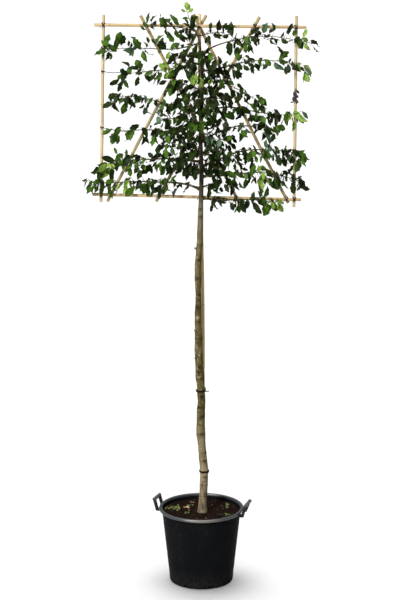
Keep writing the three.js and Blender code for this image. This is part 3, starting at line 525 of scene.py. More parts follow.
# Slanting canes: a darker, greener bamboo tint, partly their own colour and partly painted shade of the
# crown.
OLIVE_CANE = Bamboo("olive_cane", "9f8e5e", "74663c", "483d20", 0.5)
TIE_RUBBER = Plain("tie_rubber", "080706", "161310", 0.75, gloss=0.1)
CHIP_WOOD = Plain("chip_wood", "1f140c", "4c3521", 0.85)
DRY_LEAF = Plain("dry_leaf", "7d5c38", "b89b70", 0.7)
WEED_GREEN = Plain("seedling_green", "333f12", "8c9443", 0.5)
WITHERED_LEAF = Plain("withered_leaf", "1b0f12", "43282a", 0.8)


class Tone(Enum):
    """Leaf tints, dealt out by spray, under the letters that the shoots' tables use."""

    DEEP = "d"
    GREEN = "g"
    BLUE = "b"
    YELLOW = "y"


LEAF_TINTS = {
    # Darkest tint: a dark leaf colour that is partly painted shade, dealt out most near the trunk and on the
    # right side.
    Tone.DEEP: Foliage("leaf_deep", "070d02", "182707", "202d0f", "2c3c16"),
    Tone.GREEN: Foliage("leaf_green", "142506", "365213", "3e5122", "526c29"),
    # Bluish-green tint, glossier: painted sheen, the sky's reflection on glossy leaves.
    Tone.BLUE: Foliage("leaf_blue", "20321c", "3f553c", "4a5b42", "62755c", 0.3),
    Tone.YELLOW: Foliage("leaf_yellow", "45601e", "748c3a", "6c7b44", "98a660", 0.42),
}


class Way(Enum):
    """How leaves stand on their twig, under the letters that the shoots' tables use."""

    HANGING = "v"
    RISING = "^"
    SPREAD = "x"


def make_object(name: str, mesh: Mesh, finish: object, nodes: Iterable[str]) -> Object:
    """Turns a mesh into a finished piece of the tree.

    Args:
        name: The piece's name.
        mesh: Its mesh, in place.
        finish: The finish that dresses it.
        nodes: Nodes of the frame that the piece stands for.

    Returns:
        The piece's object.
    """
    mesh.name = name
    mesh.materials.append(finish.material())
    piece = bpy.data.objects.new(name, mesh)
    bpy.context.scene.collection.objects.link(piece)
    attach(piece, "root")
    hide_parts(*nodes)
    log.info("%s: %d faces", name, len(mesh.polygons))
    return piece


def mesh_from(bm: BMesh, sharp: float = 40.0) -> Mesh:
    """Writes a finished shape to a mesh, smooth except where it turns sharply.

    Args:
        bm: The shape, which is freed.
        sharp: Angle in degrees past which an edge stays sharp.

    Returns:
        The mesh.
    """
    mesh = bpy.data.meshes.new("shape")
    bm.to_mesh(mesh)
    bm.free()
    mesh.shade_smooth()
    mesh.set_sharp_from_angle(angle=radians(sharp))
    return mesh


def turn_section(
    bm: BMesh, section: Iterable[Sequence[float]], closed: bool,
    centre: Sequence[float], axis: Sequence[float], steps: int,
) -> None:
    """Turns a section about an axis.

    Args:
        bm: Shape that receives it.
        section: Corners of the section, in order.
        closed: Whether its last corner joins its first.
        centre: A point on the axis.
        axis: Direction of the axis.
        steps: Faces round it.
    """
    corners = [bm.verts.new(corner) for corner in section]
    following = corners[1:] + corners[:1] if closed else corners[1:]
    edges = [bm.edges.new(pair) for pair in zip(corners, following)]
    ops.spin(bm, geom=corners + edges, cent=centre, axis=axis, angle=TAU, steps=steps, use_merge=True)


def spoke(turn: float, rise: float = 0.0) -> Vector:
    """Direction at a turn in radians about the upright axis."""
    return Vector((cos(turn), sin(turn), rise))


def placed(points: np.ndarray, matrix: Matrix) -> np.ndarray:
    """Points carried by a matrix."""
    return points @ np.array(matrix.to_3x3()).T + np.array(matrix.translation)


def leaf_at(neck: Vector, along: Vector, facing: Vector, size: float, width: float = 1.0) -> Matrix:
    """Where a leaf goes.

    Args:
        neck: Foot of its blade.
        along: Direction of its midrib.
        facing: Rough direction of its upper face.
        size: Length of the blade in metres.
        width: Stretch across the blade.

    Returns:
        Its matrix.
    """
    normal = (facing - along * facing.dot(along)).normalized()
    turned = Matrix((along.cross(normal) * width, along, normal)).transposed()
    return Matrix.Translation(neck) @ (turned * size).to_4x4()


def close_up(bm: BMesh) -> None:
    """Merges a shape's seams and turns its faces outwards."""
    ops.remove_doubles(bm, verts=bm.verts[:], dist=1e-6)
    ops.recalc_face_normals(bm, faces=bm.faces[:])


def add_limb(
    bm: BMesh, sides: int, rings: int, place: Callable[[float, float], Vector], length: float
) -> tuple[list[BMFace], list[BMVert]]:
    """Adds a closed limb: a grid that is rolled up, placed point by point and capped.

    Args:
        bm: Shape that receives the limb.
        sides: Faces round it.
        rings: Faces along it.
        place: Gives the point at a turn in radians and a share of the length.
        length: Length in metres, for its map.

    Returns:
        The two end faces and the limb's vertices.
    """
    unrolled = bm.loops.layers.uv.verify()
    made = ops.create_grid(bm, x_segments=sides, y_segments=rings, size=0.5, calc_uvs=True)
    verts = made["verts"]
    faces = {face for vertex in verts for face in vertex.link_faces}
    for face in faces:
        for loop in face.loops:
            loop[unrolled].uv = (loop[unrolled].uv[0], loop[unrolled].uv[1] * length)
    seam = [vertex for vertex in verts if abs(abs(vertex.co.x) - 0.5) < 1e-6]
    for vertex in verts:
        vertex.co = place((vertex.co.x + 0.5) * TAU, vertex.co.y + 0.5)
    ops.remove_doubles(bm, verts=seam, dist=1e-7)
    verts = list({vertex for face in faces for vertex in face.verts})
    rims = list({edge for vertex in verts for edge in vertex.link_edges if edge.is_boundary})
    caps = ops.holes_fill(bm, edges=rims, sides=0)["faces"]
    ops.recalc_face_normals(bm, faces=list(faces) + caps)
    return caps, verts


class JoinedMesh:
    """Many small things gathered into one mesh, with its map and a number for each face."""

    def __init__(self, tag: str = "under") -> None:
        """Starts empty. The tag names the number that each face carries."""
        self.tag = tag
        self.points: list[np.ndarray] = []
        self.faces: list[tuple[int, ...]] = []
        self.map: list[Pair] = []
        self.numbers: list[float] = []
        self.count = 0

    def add_copy(self, part: "SmallPart", matrix: Matrix) -> None:
        """Adds a copy of a part.

        Args:
            part: The part.
            matrix: Where the copy goes, how it is turned and how large it is.
        """
        self.points.append(placed(part.points, matrix))
        self.faces.extend(tuple(self.count + i for i in face) for face in part.faces)
        self.map.extend(part.map)
        self.numbers.extend(part.numbers)
        self.count += len(part.points)

    def add_tube(self, path: Sequence[Vector], radii: Sequence[float], sides: int, number: float = 0) -> None:
        """Adds a closed tube.

        Args:
            path: Points of its centre line.
            radii: Its radius at each of them.
            sides: Faces round it.
            number: The faces' number.
        """
        line = np.array(path)
        ahead = np.gradient(line, axis=0)
        ahead /= np.maximum(np.linalg.norm(ahead, axis=1, keepdims=True), 1e-9)
        guide = np.array((0.31, -0.86, 0.4))
        over = np.cross(ahead, guide)
        over /= np.linalg.norm(over, axis=1, keepdims=True)
        across = np.cross(ahead, over)
        turns = np.arange(sides) * TAU / sides
        ring = np.cos(turns)[None, :, None] * over[:, None] + np.sin(turns)[None, :, None] * across[:, None]
        points = line[:, None] + ring * np.array(radii)[:, None, None]
        self.points.append(points.reshape(-1, 3))
        start, rings = self.count, len(line)
        length = 0.0
        for k in range(rings - 1):
            step = float(np.linalg.norm(line[k + 1] - line[k]))
            for i in range(sides):
                j = (i + 1) % sides
                low, high = start + k * sides, start + (k + 1) * sides
                self.faces.append((low + i, low + j, high + j, high + i))
                u, v = i / sides, (i + 1) / sides
                self.map.extend([(u, length), (v, length), (v, length + step), (u, length + step)])
                self.numbers.append(number)
            length += step
        for corners in (range(sides - 1, -1, -1), range((rings - 1) * sides, rings * sides)):
            self.faces.append(tuple(start + i for i in corners))
            self.map.extend([(0.5, 0.0)] * sides)
            self.numbers.append(number)
        self.count += rings * sides

    def mesh(self, sharp: float = 50.0) -> Mesh:
        """Writes everything gathered to one mesh.

        Args:
            sharp: Angle in degrees past which an edge stays sharp.

        Returns:
            The mesh.
        """
        mesh = bpy.data.meshes.new("joined")
        mesh.from_pydata(np.concatenate(self.points).tolist(), [], self.faces)
        unrolled = mesh.uv_layers.new(name="UVMap")
        unrolled.data.foreach_set("uv", np.array(self.map, dtype=np.float32).ravel())
        numbers = mesh.attributes.new(self.tag, "FLOAT", "FACE")
        numbers.data.foreach_set("value", np.array(self.numbers, dtype=np.float32))
        mesh.shade_smooth()
        mesh.set_sharp_from_angle(angle=radians(sharp))
        return mesh


@dataclass
class SmallPart:
    """A small shape that is copied many times, read from a finished bmesh."""

    points: np.ndarray
    faces: list[tuple[int, ...]]
    map: list[Pair]
    numbers: list[float]

    @classmethod
    def read(cls, bm: BMesh, number: Callable[[BMFace], float]) -> "SmallPart":
        """Reads a shape and frees it.

        Args:
            bm: The shape, with its map.
            number: Gives each face's number.

        Returns:
            The part.
        """
        unrolled = bm.loops.layers.uv.verify()
        bm.verts.index_update()
        points = np.array([vertex.co[:] for vertex in bm.verts])
        faces = [tuple(vertex.index for vertex in face.verts) for face in bm.faces]
        corners = [tuple(loop[unrolled].uv) for face in bm.faces for loop in face.loops]
        numbers = [number(face) for face in bm.faces]
        bm.free()
        return cls(points, faces, corners, numbers)


@dataclass(frozen=True)
class LeafShape:
    """Shape of one leaf. Sizes are shares of its length; it lies along Y and faces +Z."""

    aspect: float
    widest: float
    fold: float
    arch: float
    curl: float
    ripple: float
    phase: float
    twist: float = 0.0
    hook: float = 0.0

    COLUMNS = 4
    ROWS = 7
    THICKNESS = 0.009

    def half_width(self, along: float) -> float:
        """Half the blade's width at a share of its length, before its ripples."""
        fall = (1 - self.widest) / self.widest
        peak = self.widest * (1 - self.widest) ** fall
        return 0.5 * self.aspect * along * ((1 - along) ** fall) / peak

    def surface(self, across: float, along: float) -> Vector:
        """Point of the blade's upper face.

        Args:
            across: -1 at one margin, 0 at the midrib, 1 at the other margin.
            along: 0 at the stalk, 1 at the tip.

        Returns:
            The point.
        """
        wave = sin(TAU * 2.6 * along + self.phase + (1.1 if across > 0 else 0.0))
        edge = across * across
        half = self.half_width(along) * (1 + 0.15 * wave * abs(across))
        x = half * across
        lift = self.fold * abs(x) + self.ripple * wave * edge * sin(pi * along)
        lift -= self.curl * edge * self.half_width(along)
        turn = self.twist * along
        x, lift = x * cos(turn) - lift * sin(turn), x * sin(turn) + lift * cos(turn)
        square = along * along
        length = along * (1 - 0.3 * abs(self.arch) * along)
        return Vector((x + self.hook * square, length, lift - self.arch * square))

    def part(self) -> SmallPart:
        """Builds the leaf: an upper and an under face that meet at the margin.

        Returns:
            The leaf, its under faces numbered 1 and the rest 0.
        """
        bm = bmesh.new()
        unrolled = bm.loops.layers.uv.verify()
        ops.create_grid(bm, x_segments=self.COLUMNS, y_segments=self.ROWS, size=0.5, calc_uvs=True)
        for vertex in bm.verts:
            row = vertex.co.y + 0.5
            along = lerp(row, 0.5 - 0.5 * cos(pi * row), 0.55)
            vertex.co = self.surface(2 * vertex.co.x, along)
        ops.remove_doubles(bm, verts=bm.verts[:], dist=1e-4)
        margin = {vertex for vertex in bm.verts if vertex.is_boundary}
        copied = ops.duplicate(bm, geom=bm.verts[:] + bm.edges[:] + bm.faces[:])
        under = [item for item in copied["geom"] if isinstance(item, BMFace)]
        below = [item for item in copied["geom"] if isinstance(item, BMVert)]
        rim = {copied["vert_map"][vertex] for vertex in margin}
        for vertex in below:
            if vertex not in rim:
                vertex.co.z -= self.THICKNESS
        ops.reverse_faces(bm, faces=under)
        for face in under:
            for loop in face.loops:
                loop[unrolled].uv.y += 1.0
        ops.remove_doubles(bm, verts=bm.verts[:], dist=1e-5)
        bm.normal_update()
        return SmallPart.read(bm, lambda face: 1.0 if face.loops[0][unrolled].uv.y > 0.999 else 0.0)

    def outline(self) -> np.ndarray:
        """Points spread over the blade, by which it is kept clear of other things."""
        places = [(0.0, 0.0), (0.0, 0.25), (0.0, 0.5), (0.0, 0.75), (0.0, 1.0)]
        places += [(side, along) for along in (0.2, 0.42, 0.62, 0.82) for side in (-0.95, -0.45, 0.45, 0.95)]
        return np.array([self.surface(across, along)[:] for across, along in places])


LEAF_SHAPES = (
    LeafShape(0.56, 0.53, 0.28, 0.26, 0.30, 0.045, 0.0, 0.35, 0.06),
    LeafShape(0.47, 0.48, 0.48, 0.42, 0.20, 0.060, 1.3, -0.5, -0.10),
    LeafShape(0.60, 0.55, 0.20, 0.14, 0.42, 0.050, 2.4, 0.2, 0.04),
    LeafShape(0.51, 0.51, 0.40, -0.14, 0.16, 0.065, 3.6, -0.3, 0.12),
    LeafShape(0.53, 0.46, 0.60, 0.52, 0.10, 0.040, 4.4, 0.8, -0.07),
    LeafShape(0.43, 0.50, 0.78, 0.30, 0.24, 0.060, 5.2, -1.0, 0.15),
    LeafShape(0.49, 0.55, 0.36, 0.66, 0.34, 0.050, 0.9, 0.6, -0.15),
    LeafShape(0.45, 0.50, 0.95, 0.18, 0.10, 0.035, 2.9, 0.0, 0.0),
)
WITHERED_SHAPES = (
    LeafShape(0.46, 0.50, 1.6, 0.85, 1.5, 0.09, 0.4),
    LeafShape(0.40, 0.55, 2.1, 0.55, 1.9, 0.12, 2.0),
)


class Clearance:
    """Space that limbs, canes and placed leaves already take."""

    CELL = 0.004

    def __init__(self) -> None:
        """Starts with nothing in the way."""
        self.starts: list[np.ndarray] = []
        self.ways: list[np.ndarray] = []
        self.reach: list[float] = []
        self.cells: set[tuple[int, int, int]] = set()

    def add_limb(self, path: Sequence[Vector], radii: Sequence[float], margin: float = 0.002) -> None:
        """Keeps later leaves off a limb, given by its centre line and radii."""
        for k in range(len(path) - 1):
            self.starts.append(np.array(path[k]))
            self.ways.append(np.array(path[k + 1] - path[k]))
            self.reach.append(max(radii[k], radii[k + 1]) + margin)

    def settle(self) -> None:
        """Readies the limbs for testing, once all are known."""
        self.start = np.array(self.starts)
        self.way = np.array(self.ways)
        self.square = np.maximum((self.way**2).sum(axis=1), 1e-12)
        self.limit = np.array(self.reach) ** 2

    def is_clear(self, points: np.ndarray) -> bool:
        """True where no point is in a limb or next to a placed leaf.

        Args:
            points: Points spread over the thing to place.

        Returns:
            Whether it fits.
        """
        offset = points[:, None] - self.start[None]
        share = np.clip((offset * self.way[None]).sum(axis=2) / self.square[None], 0, 1)
        gap = offset - share[..., None] * self.way[None]
        if ((gap**2).sum(axis=2) < self.limit[None]).any():
            return False
        return self.cells.isdisjoint(self.cells_of(points))

    def cells_of(self, points: np.ndarray) -> set[tuple[int, int, int]]:
        """Cells of space that these points lie in."""
        return {tuple(cell) for cell in np.floor(points / self.CELL).astype(int).tolist()}

    def take(self, points: np.ndarray) -> None:
        """Marks the space round these points as taken."""
        near = [(i, j, k) for i in (-1, 0, 1) for j in (-1, 0, 1) for k in (-1, 0, 1)]
        for x, y, z in self.cells_of(points):
            self.cells.update((x + i, y + j, z + k) for i, j, k in near)


@dataclass(frozen=True)
class Knot:
    """Scar of a shed or pruned side branch on the trunk.

    height is in millimetres, turn in degrees from +X with -90 facing the front, size its half
    width in millimetres, and stub the length of a cut stub in millimetres.
    """

    height: float
    turn: float
    size: float
    stub: float = 0.0


@dataclass(frozen=True)
class Swelling:
    """A place where one side of the trunk stands out, or falls in where its size is negative."""

    height: float
    side: int
    size: float
    spread: float


@dataclass
class Trunk:
    """Trunk of the tree, with its flare, knots, pruning stubs and wrinkled bark."""

    sides: int = 56
    ring_height: float = 4.5
    flare: float = 1.0
    flare_lobes: int = 5
    knots: tuple[Knot, ...] = tuple(Knot(*row) for row in (
        (2340, -95, 9), (2295, -75, 8), (2123, -20, 10), (2092, -175, 8, 13), (2030, -78, 10),
        (1917, -98, 11), (1815, -72, 9), (1738, -88, 15), (1648, -85, 9), (1585, -172, 7, 8),
        (1537, -30, 10), (1410, 178, 7, 9), (1366, -80, 11), (1334, -100, 8), (1180, -75, 12),
        (1110, -115, 14), (1052, -60, 13), (941, -85, 13), (822, -38, 12), (768, -60, 13), (666, -70, 11),
        (1990, 70, 10), (1690, 110, 11), (1300, 60, 10), (1010, 120, 12), (600, 95, 10),
    ))
    wrinkles: tuple[float, ...] = (1917, 1296, 1286, 1000, 640, 612, 540)
    girth: float = 1.6
    swellings: tuple[Swelling, ...] = tuple(Swelling(*row) for row in (
        (950, LEFT, 3.6, 75), (1140, LEFT, -4.6, 48), (1295, LEFT, 4.2, 45), (1440, LEFT, 3.8, 80),
        (1790, LEFT, -6.0, 75), (1990, LEFT, 2.2, 35), (2060, LEFT, -1.8, 30), (2153, LEFT, 0.8, 35),
        (705, RIGHT, 1.8, 40), (1150, RIGHT, 3.0, 90), (1300, RIGHT, 3.4, 50), (2125, RIGHT, 1.6, 50),
    ))
    # Side and heights of the dark film, partly damp and partly painted shade on the side away from the light.
    shaded_side_turn: float = radians(-28)
    damp_low: float = 930.0
    damp_high: float = 2330.0
    stains: tuple[Triple, ...] = (
        (1162, 58, 0.85), (1032, 50, 0.35), (776, 60, 0.3), (1576, 42, 0.6), (2020, 40, 0.25),
        (2232, 70, 0.5),
    )

    @staticmethod
    def centre(height: float) -> Vector:
        """Centre of the trunk at a height in millimetres."""
        x, y = (smooth_column(TRUNK_STATIONS, column, height) for column in (1, 2))
        return Vector((x, y, height)) * MM

    @staticmethod
    def radius(height: float) -> float:
        """Radius of the trunk at a height in millimetres, without its relief."""
        return smooth_column(TRUNK_STATIONS, 3, height) * MM

    @property
    def foot(self) -> float:
        """Height of the cut at the soil."""
        return TRUNK_STATIONS[0][0]

    @property
    def top(self) -> float:
        """Height of the foot of the leader."""
        return TRUNK_STATIONS[-1][0]

    def relief(self, height: float, turn: float) -> Pair:
        """Relief of the bark.

        Args:
            height: Height in millimetres.
            turn: Turn round the trunk in radians.

        Returns:
            How far the bark stands out in metres, and how dark its scar is, 0 to 1.
        """
        base = self.radius(height)
        around = spoke(turn)
        body = clamp((height - 540) / 60) * clamp((2420 - height) / 80)
        out = self.girth * body
        for swelling in self.swellings:
            share = max(swelling.side * around.x, 0.0)
            out += swelling.size * share * bell(height - swelling.height, swelling.spread)
        out += 2.4 * noise(around * 0.8 + Vector((0, 0, height / 75)))
        out += 0.9 * noise(around * 2.2 + Vector((3, 0, height / 22)))
        out += 0.4 * noise(around * 7 + Vector((0, 5, height / 7)))
        scar = 0.0
        lobes = 0.5 + 0.5 * cos(self.flare_lobes * turn + 0.7)
        out += self.flare * lobes * clamp(1 - (height - self.foot) / 70) ** 2
        for knot in self.knots:
            rise = height - knot.height
            if abs(rise) > 4 * knot.size:
                continue
            aside = remainder(turn - radians(knot.turn), TAU) * base / MM
            reach = hypot(rise * 1.15, aside) / knot.size
            swell = knot.size / 10
            out += 3.6 * swell * bell(reach, 1.3) - 2.4 * swell * bell(reach, 0.5)
            ragged = 4 * noise(Vector((aside / 6, knot.height, height / 9)))
            arc = rise - 0.3 * knot.size + 0.1 * aside * aside / knot.size + ragged
            spread = bell(aside, 1.8 * knot.size)
            out -= 0.9 * bell(arc, 2.4) * spread
            scar = max(scar, bell(arc, 6.5) * spread, bell(reach, 1.0))
        for level in self.wrinkles:
            rise = height - level - 5 * noise(around * 1.7 + Vector((0, 0, level)))
            if abs(rise) < 14:
                out += 0.9 * bell(rise - 4, 3) - 0.8 * bell(rise, 2)
                scar = max(scar, 0.7 * bell(rise, 3.2))
        fade = clamp(base / (20 * MM), 0.35, 1.0)
        return out * MM * fade, scar

    def damp_and_shade(self, height: float, turn: float) -> float:
        """Share of the dark film at a height in millimetres and a turn in radians: partly damp, partly
        painted shade on the front-right side, with the stains.
        """
        # Painted shade as well as damp: the front-right side, turned from the light, darkens most.
        side = clamp(cos(turn - self.shaded_side_turn) * 1.5 - 0.35)
        level = clamp((height - self.damp_low) / 120) * clamp((self.damp_high - height) / 160)
        ragged = noise(spoke(turn, height / 60) * 1.6)
        stain = max(share * bell(height - middle, spread) for middle, spread, share in self.stains)
        return max(0.78 * side * level, stain) * clamp(0.74 + 0.9 * ragged)

    def build(self) -> Object:
        """Builds the trunk with its stubs."""
        bm = bmesh.new()
        scars = bm.verts.layers.float.new("scar")
        damp_shade_films = bm.verts.layers.float.new("film")
        span = self.top - self.foot
        shades: dict[tuple[int, int, int], float] = {}

        def place(turn: float, along: float) -> Vector:
            """Point of the bark."""
            height = self.foot + span * along
            out, scar = self.relief(height, turn)
            reach = self.radius(height) + out
            point = self.centre(height) + spoke(turn) * reach
            shades[tuple(round(c * 1e6) for c in point)] = scar
            return point

        rings = round(span / self.ring_height)
        _, verts = add_limb(bm, self.sides, rings, place, span * MM)
        for vertex in verts:
            vertex[scars] = shades.get(tuple(round(c * 1e6) for c in vertex.co), 0.0)
            height = vertex.co.z / MM
            aside = vertex.co - self.centre(height)
            vertex[damp_shade_films] = self.damp_and_shade(height, atan2(aside.y, aside.x))
        for knot in self.knots:
            if knot.stub:
                self._add_stub(bm, knot, scars)
        return make_object("trunk_bark", mesh_from(bm, 60), BARK, ["trunk"])

    def _add_stub(self, bm: BMesh, knot: Knot, scars: BMLayerItem) -> None:
        """Adds a pruning stub with a sunken cut end.

        Args:
            bm: The trunk's shape.
            knot: The knot that carries the stub.
            scars: Layer for the scar's darkness.
        """
        out = spoke(radians(knot.turn), 0.35).normalized()
        start = self.centre(knot.height) + out * (self.radius(knot.height) - 4 * MM)
        side = out.cross(UP).normalized()
        over = out.cross(side)
        reach = (knot.stub + 4) * MM

        def place(angle: float, along: float) -> Vector:
            """Point of the stub's side."""
            radius = knot.size * MM * lerp(0.95, 0.52, along**0.6)
            radius *= 1 + 0.1 * noise(spoke(angle, along * 3) * 2)
            return start + out * (reach * along) + (side * cos(angle) + over * sin(angle)) * radius

        caps, verts = add_limb(bm, 16, 5, place, reach)
        for vertex in verts:
            vertex[scars] = 0.25
        end = max(caps, key=lambda face: (face.calc_center_median() - start).dot(out))
        rim = ops.inset_region(bm, faces=[end], thickness=knot.size * 0.16 * MM, depth=-0.0012)
        for vertex in {v for face in rim["faces"] for v in face.verts} | set(end.verts):
            vertex[scars] = 0.7


@dataclass(frozen=True)
class Shoot:
    """One trained shoot. Lengths are millimetres.

    rise holds its heights at the trunk, at one third and two thirds of its reach and at its tip.
    bare is the length without leaves and girth the radius at the trunk. crowd, tones and ways
    have one letter for each tenth of the reach: the number of leaves, their tint and how they
    stand.
    """

    name: str
    reach: float
    rise: tuple[float, float, float, float]
    bare: float
    girth: float
    twig: float
    crowd: str
    tones: str
    ways: str

    TIP_RADIUS = 1.3
    FORWARD = -7.0
    BEND = 90.0
    WAVE = 5.0

    @property
    def side(self) -> int:
        """LEFT or RIGHT of the trunk, as its name says."""
        return LEFT if self.name.startswith("left") else RIGHT

    def height(self, distance: float) -> float:
        """Height at a distance from the centre plane: the cubic through the four heights."""
        u = clamp(distance / self.reach) * 3
        a, b, c, d = self.rise
        return (
            -a * (u - 1) * (u - 2) * (u - 3) / 6
            + b * u * (u - 2) * (u - 3) / 2
            - c * u * (u - 1) * (u - 3) / 2
            + d * u * (u - 1) * (u - 2) / 6
        )

    def point(self, distance: float) -> Vector:
        """Point of the shoot's centre line, in metres.

        Args:
            distance: Distance from the centre plane in millimetres.

        Returns:
            The point. The shoot leaves the trunk level, curves forward and waves slightly.
        """
        foot = Trunk.centre(self.rise[0]) / MM
        out = clamp((distance - self.side * foot.x) / self.BEND)
        ease = out * out * (3 - 2 * out)
        wave = self.WAVE * sin(distance / 55 + self.rise[0]) * out
        depth = lerp(foot.y, self.FORWARD, ease) + 0.6 * wave
        return Vector((self.side * distance, depth, self.height(distance) + 0.5 * wave)) * MM

    def radius(self, distance: float) -> float:
        """Radius at a distance from the centre plane, in metres, without relief."""
        return lerp(self.girth, self.TIP_RADIUS, clamp(distance / self.reach) ** 0.7) * MM

    def start(self) -> float:
        """Distance at which the shoot comes out of the trunk."""
        foot = self.rise[0]
        return self.side * Trunk.centre(foot).x / MM + Trunk.radius(foot) / MM


# In the tones column the darkest tint d stands most near the trunk and on the right: partly painted shade.
SHOOTS = tuple(Shoot(*row) for row in (
    ("left_1", 662, (2457, 2505, 2502, 2508), 130, 7.5, 46, "2256655446", "ddgdggyggg", "vvxvvxvvvv"),
    ("left_2", 600, (2625, 2642, 2636, 2590), 70, 7.5, 62, "3665566677", "dddgdgggyg", "vvvvxvvxvv"),
    ("left_2_inner", 215, (2683, 2698, 2712, 2716), 0, 4.5, 70, "1322322222", "dddgddbdgd", "vvxvvvxvvv"),
    ("left_3", 520, (2743, 2792, 2818, 2800), 60, 6.5, 55, "3444413223", "dddgdgdggg", "vvvvvvvvvv"),
    ("left_3_inner", 235, (2828, 2866, 2886, 2884), 0, 4.5, 70, "1222322222", "ddgddgdddb", "vvxvvvxvvx"),
    ("left_4", 515, (2904, 2966, 3004, 3020), 60, 6.5, 60, "2332314345", "ddgdggbdgd", "vvvvvvvvvv"),
    ("left_4_inner", 200, (3053, 3075, 3090, 3092), 0, 4.5, 60, "1221221221", "dgddgddgdd", "vvxvvvxvvv"),
    ("left_5", 470, (3206, 3187, 3161, 3152), 60, 5.5, 48, "2333231424", "ddgyggdddg", "vvvxvvvx^v"),
    ("left_6_inner", 150, (3268, 3262, 3250, 3244), 0, 4, 55, "1111111111", "dgddgddgdd", "vvxvxvvvvv"),
    ("left_6", 580, (3332, 3296, 3298, 3298), 60, 4.8, 40, "1222233235", "ddgdggbdgg", "x^xx^xxx^x"),
    ("left_7", 315, (3392, 3414, 3432, 3430), 0, 4, 46, "1232222122", "gddgdgdddg", "vxvx^xv^xx"),
    ("right_1", 450, (2403, 2397, 2392, 2386), 50, 6.5, 46, "0312533344", "gddddgdggy", "vvvvvvx^vv"),
    ("right_1_inner", 120, (2469, 2484, 2494, 2498), 0, 4.5, 42, "0110111110", "dddddddddd", "vvvvvvvvvv"),
    ("right_2", 585, (2534, 2552, 2556, 2508), 110, 7, 58, "1456655446", "dddgdydddd", "vvvvxvvvvv"),
    ("right_3", 592, (2592, 2676, 2700, 2664), 60, 7, 58, "3455657666", "ddgddgbddg", "vvvvvvxvvv"),
    ("right_3_inner", 170, (2671, 2714, 2756, 2760), 0, 4.5, 60, "1222212221", "ddgdddgddd", "vvxvvvxvvv"),
    ("right_4", 435, (2743, 2822, 2838, 2816), 50, 6.5, 55, "3332233236", "dgddgbdddg", "vvvvvvxvvv"),
    ("right_5", 560, (2896, 2949, 2916, 2914), 60, 6.5, 44, "1223142534", "ddgdggbdgy", "vvvvvvvvvv"),
    ("right_5_inner", 140, (2996, 3006, 3014, 3016), 0, 4.5, 60, "1122122211", "dgddgddgdd", "vvvxvvvvvv"),
    ("right_6", 350, (3086, 3096, 3050, 2976), 70, 5.5, 52, "1212114134", "dyggddgddg", "vvvvvvvvvv"),
    ("right_7", 605, (3164, 3205, 3230, 3166), 60, 5.5, 44, "3554431326", "dddgdgbgdy", "vxvxvvvxvv"),
    ("right_8", 660, (3268, 3354, 3364, 3324), 90, 5, 44, "1034333332", "dgdgdbgdyd", "vvxvx^x^xv"),
    ("right_9", 130, (3372, 3388, 3392, 3390), 0, 3.6, 44, "0110101111", "dddgdddddd", "xvx^xvx^x^"),
))


@dataclass(frozen=True)
class FrontSpray:
    """Spray in front of the trunk: heights it keeps between, its spread and leaves on each arm."""

    name: str
    low: float
    high: float
    spread: float
    leaves: int
    tones: str

    ARMS = 5
    PLANE = -42.0
    DEPTH = 26.0
    GIRTH = 5.0


# The front sprays, in the crown's centre, take mostly the darkest tint: partly painted shade.
FRONT_SPRAYS = (
    FrontSpray("front_1", 2590, 2752, 150, 14, "ddddd"),
    FrontSpray("front_2", 2752, 2912, 165, 16, "dgddb"),
    FrontSpray("front_3", 2912, 3110, 130, 12, "ddddg"),
    FrontSpray("front_4", 3110, 3330, 95, 9, "dgdyd"),
)


@dataclass(frozen=True)
class Landmark:
    """A leaf that stands out in the photograph.

    x and height place the foot of its blade, degrees gives its direction in the plane of the
    crown from +X, and length is the blade's, in millimetres.
    """

    x: float
    height: float
    degrees: float
    length: float
    tone: Tone


LANDMARKS = tuple(Landmark(*row[:4], Tone(row[4])) for row in (
    (-546, 3283, 178, 92, "g"), (182, 3366, 107, 100, "d"), (166, 3340, -98, 88, "d"),
    (340, 3429, -131, 86, "d"), (288, 3322, -70, 62, "d"), (566, 3366, -76, 78, "d"),
    (585, 3360, -100, 70, "g"), (575, 2698, -58, 104, "g"), (546, 2612, -114, 74, "d"),
    (575, 2538, -64, 104, "d"), (-587, 2606, -128, 78, "g"), (-512, 2640, 176, 86, "d"),
    (-129, 3437, 140, 88, "g"), (-188, 3284, -102, 64, "y"), (-481, 3119, -144, 76, "d"),
    (-466, 3108, -110, 70, "d"), (-516, 2978, -168, 88, "d"), (-381, 2990, -130, 72, "g"),
    (505, 2932, -100, 70, "g"), (96, 3118, -38, 74, "g"), (-178, 2884, -120, 72, "g"),
    (312, 2622, -100, 84, "g"), (338, 2610, -76, 78, "y"), (430, 2392, -84, 74, "g"),
    (452, 2388, -66, 76, "y"), (-636, 2506, -70, 74, "g"), (-487, 2492, -110, 62, "y"),
    (-92, 3180, -60, 84, "b"), (610, 3190, -50, 66, "b"), (590, 2930, -40, 60, "b"),
    (6, 3052, -112, 60, "g"), (-14, 3006, -76, 64, "d"), (12, 2968, -118, 66, "d"),
    (-10, 2926, -70, 62, "g"), (10, 2884, -104, 70, "d"), (-12, 2850, -62, 66, "d"),
    (8, 3292, -100, 58, "g"), (-8, 3238, -66, 60, "d"),
))


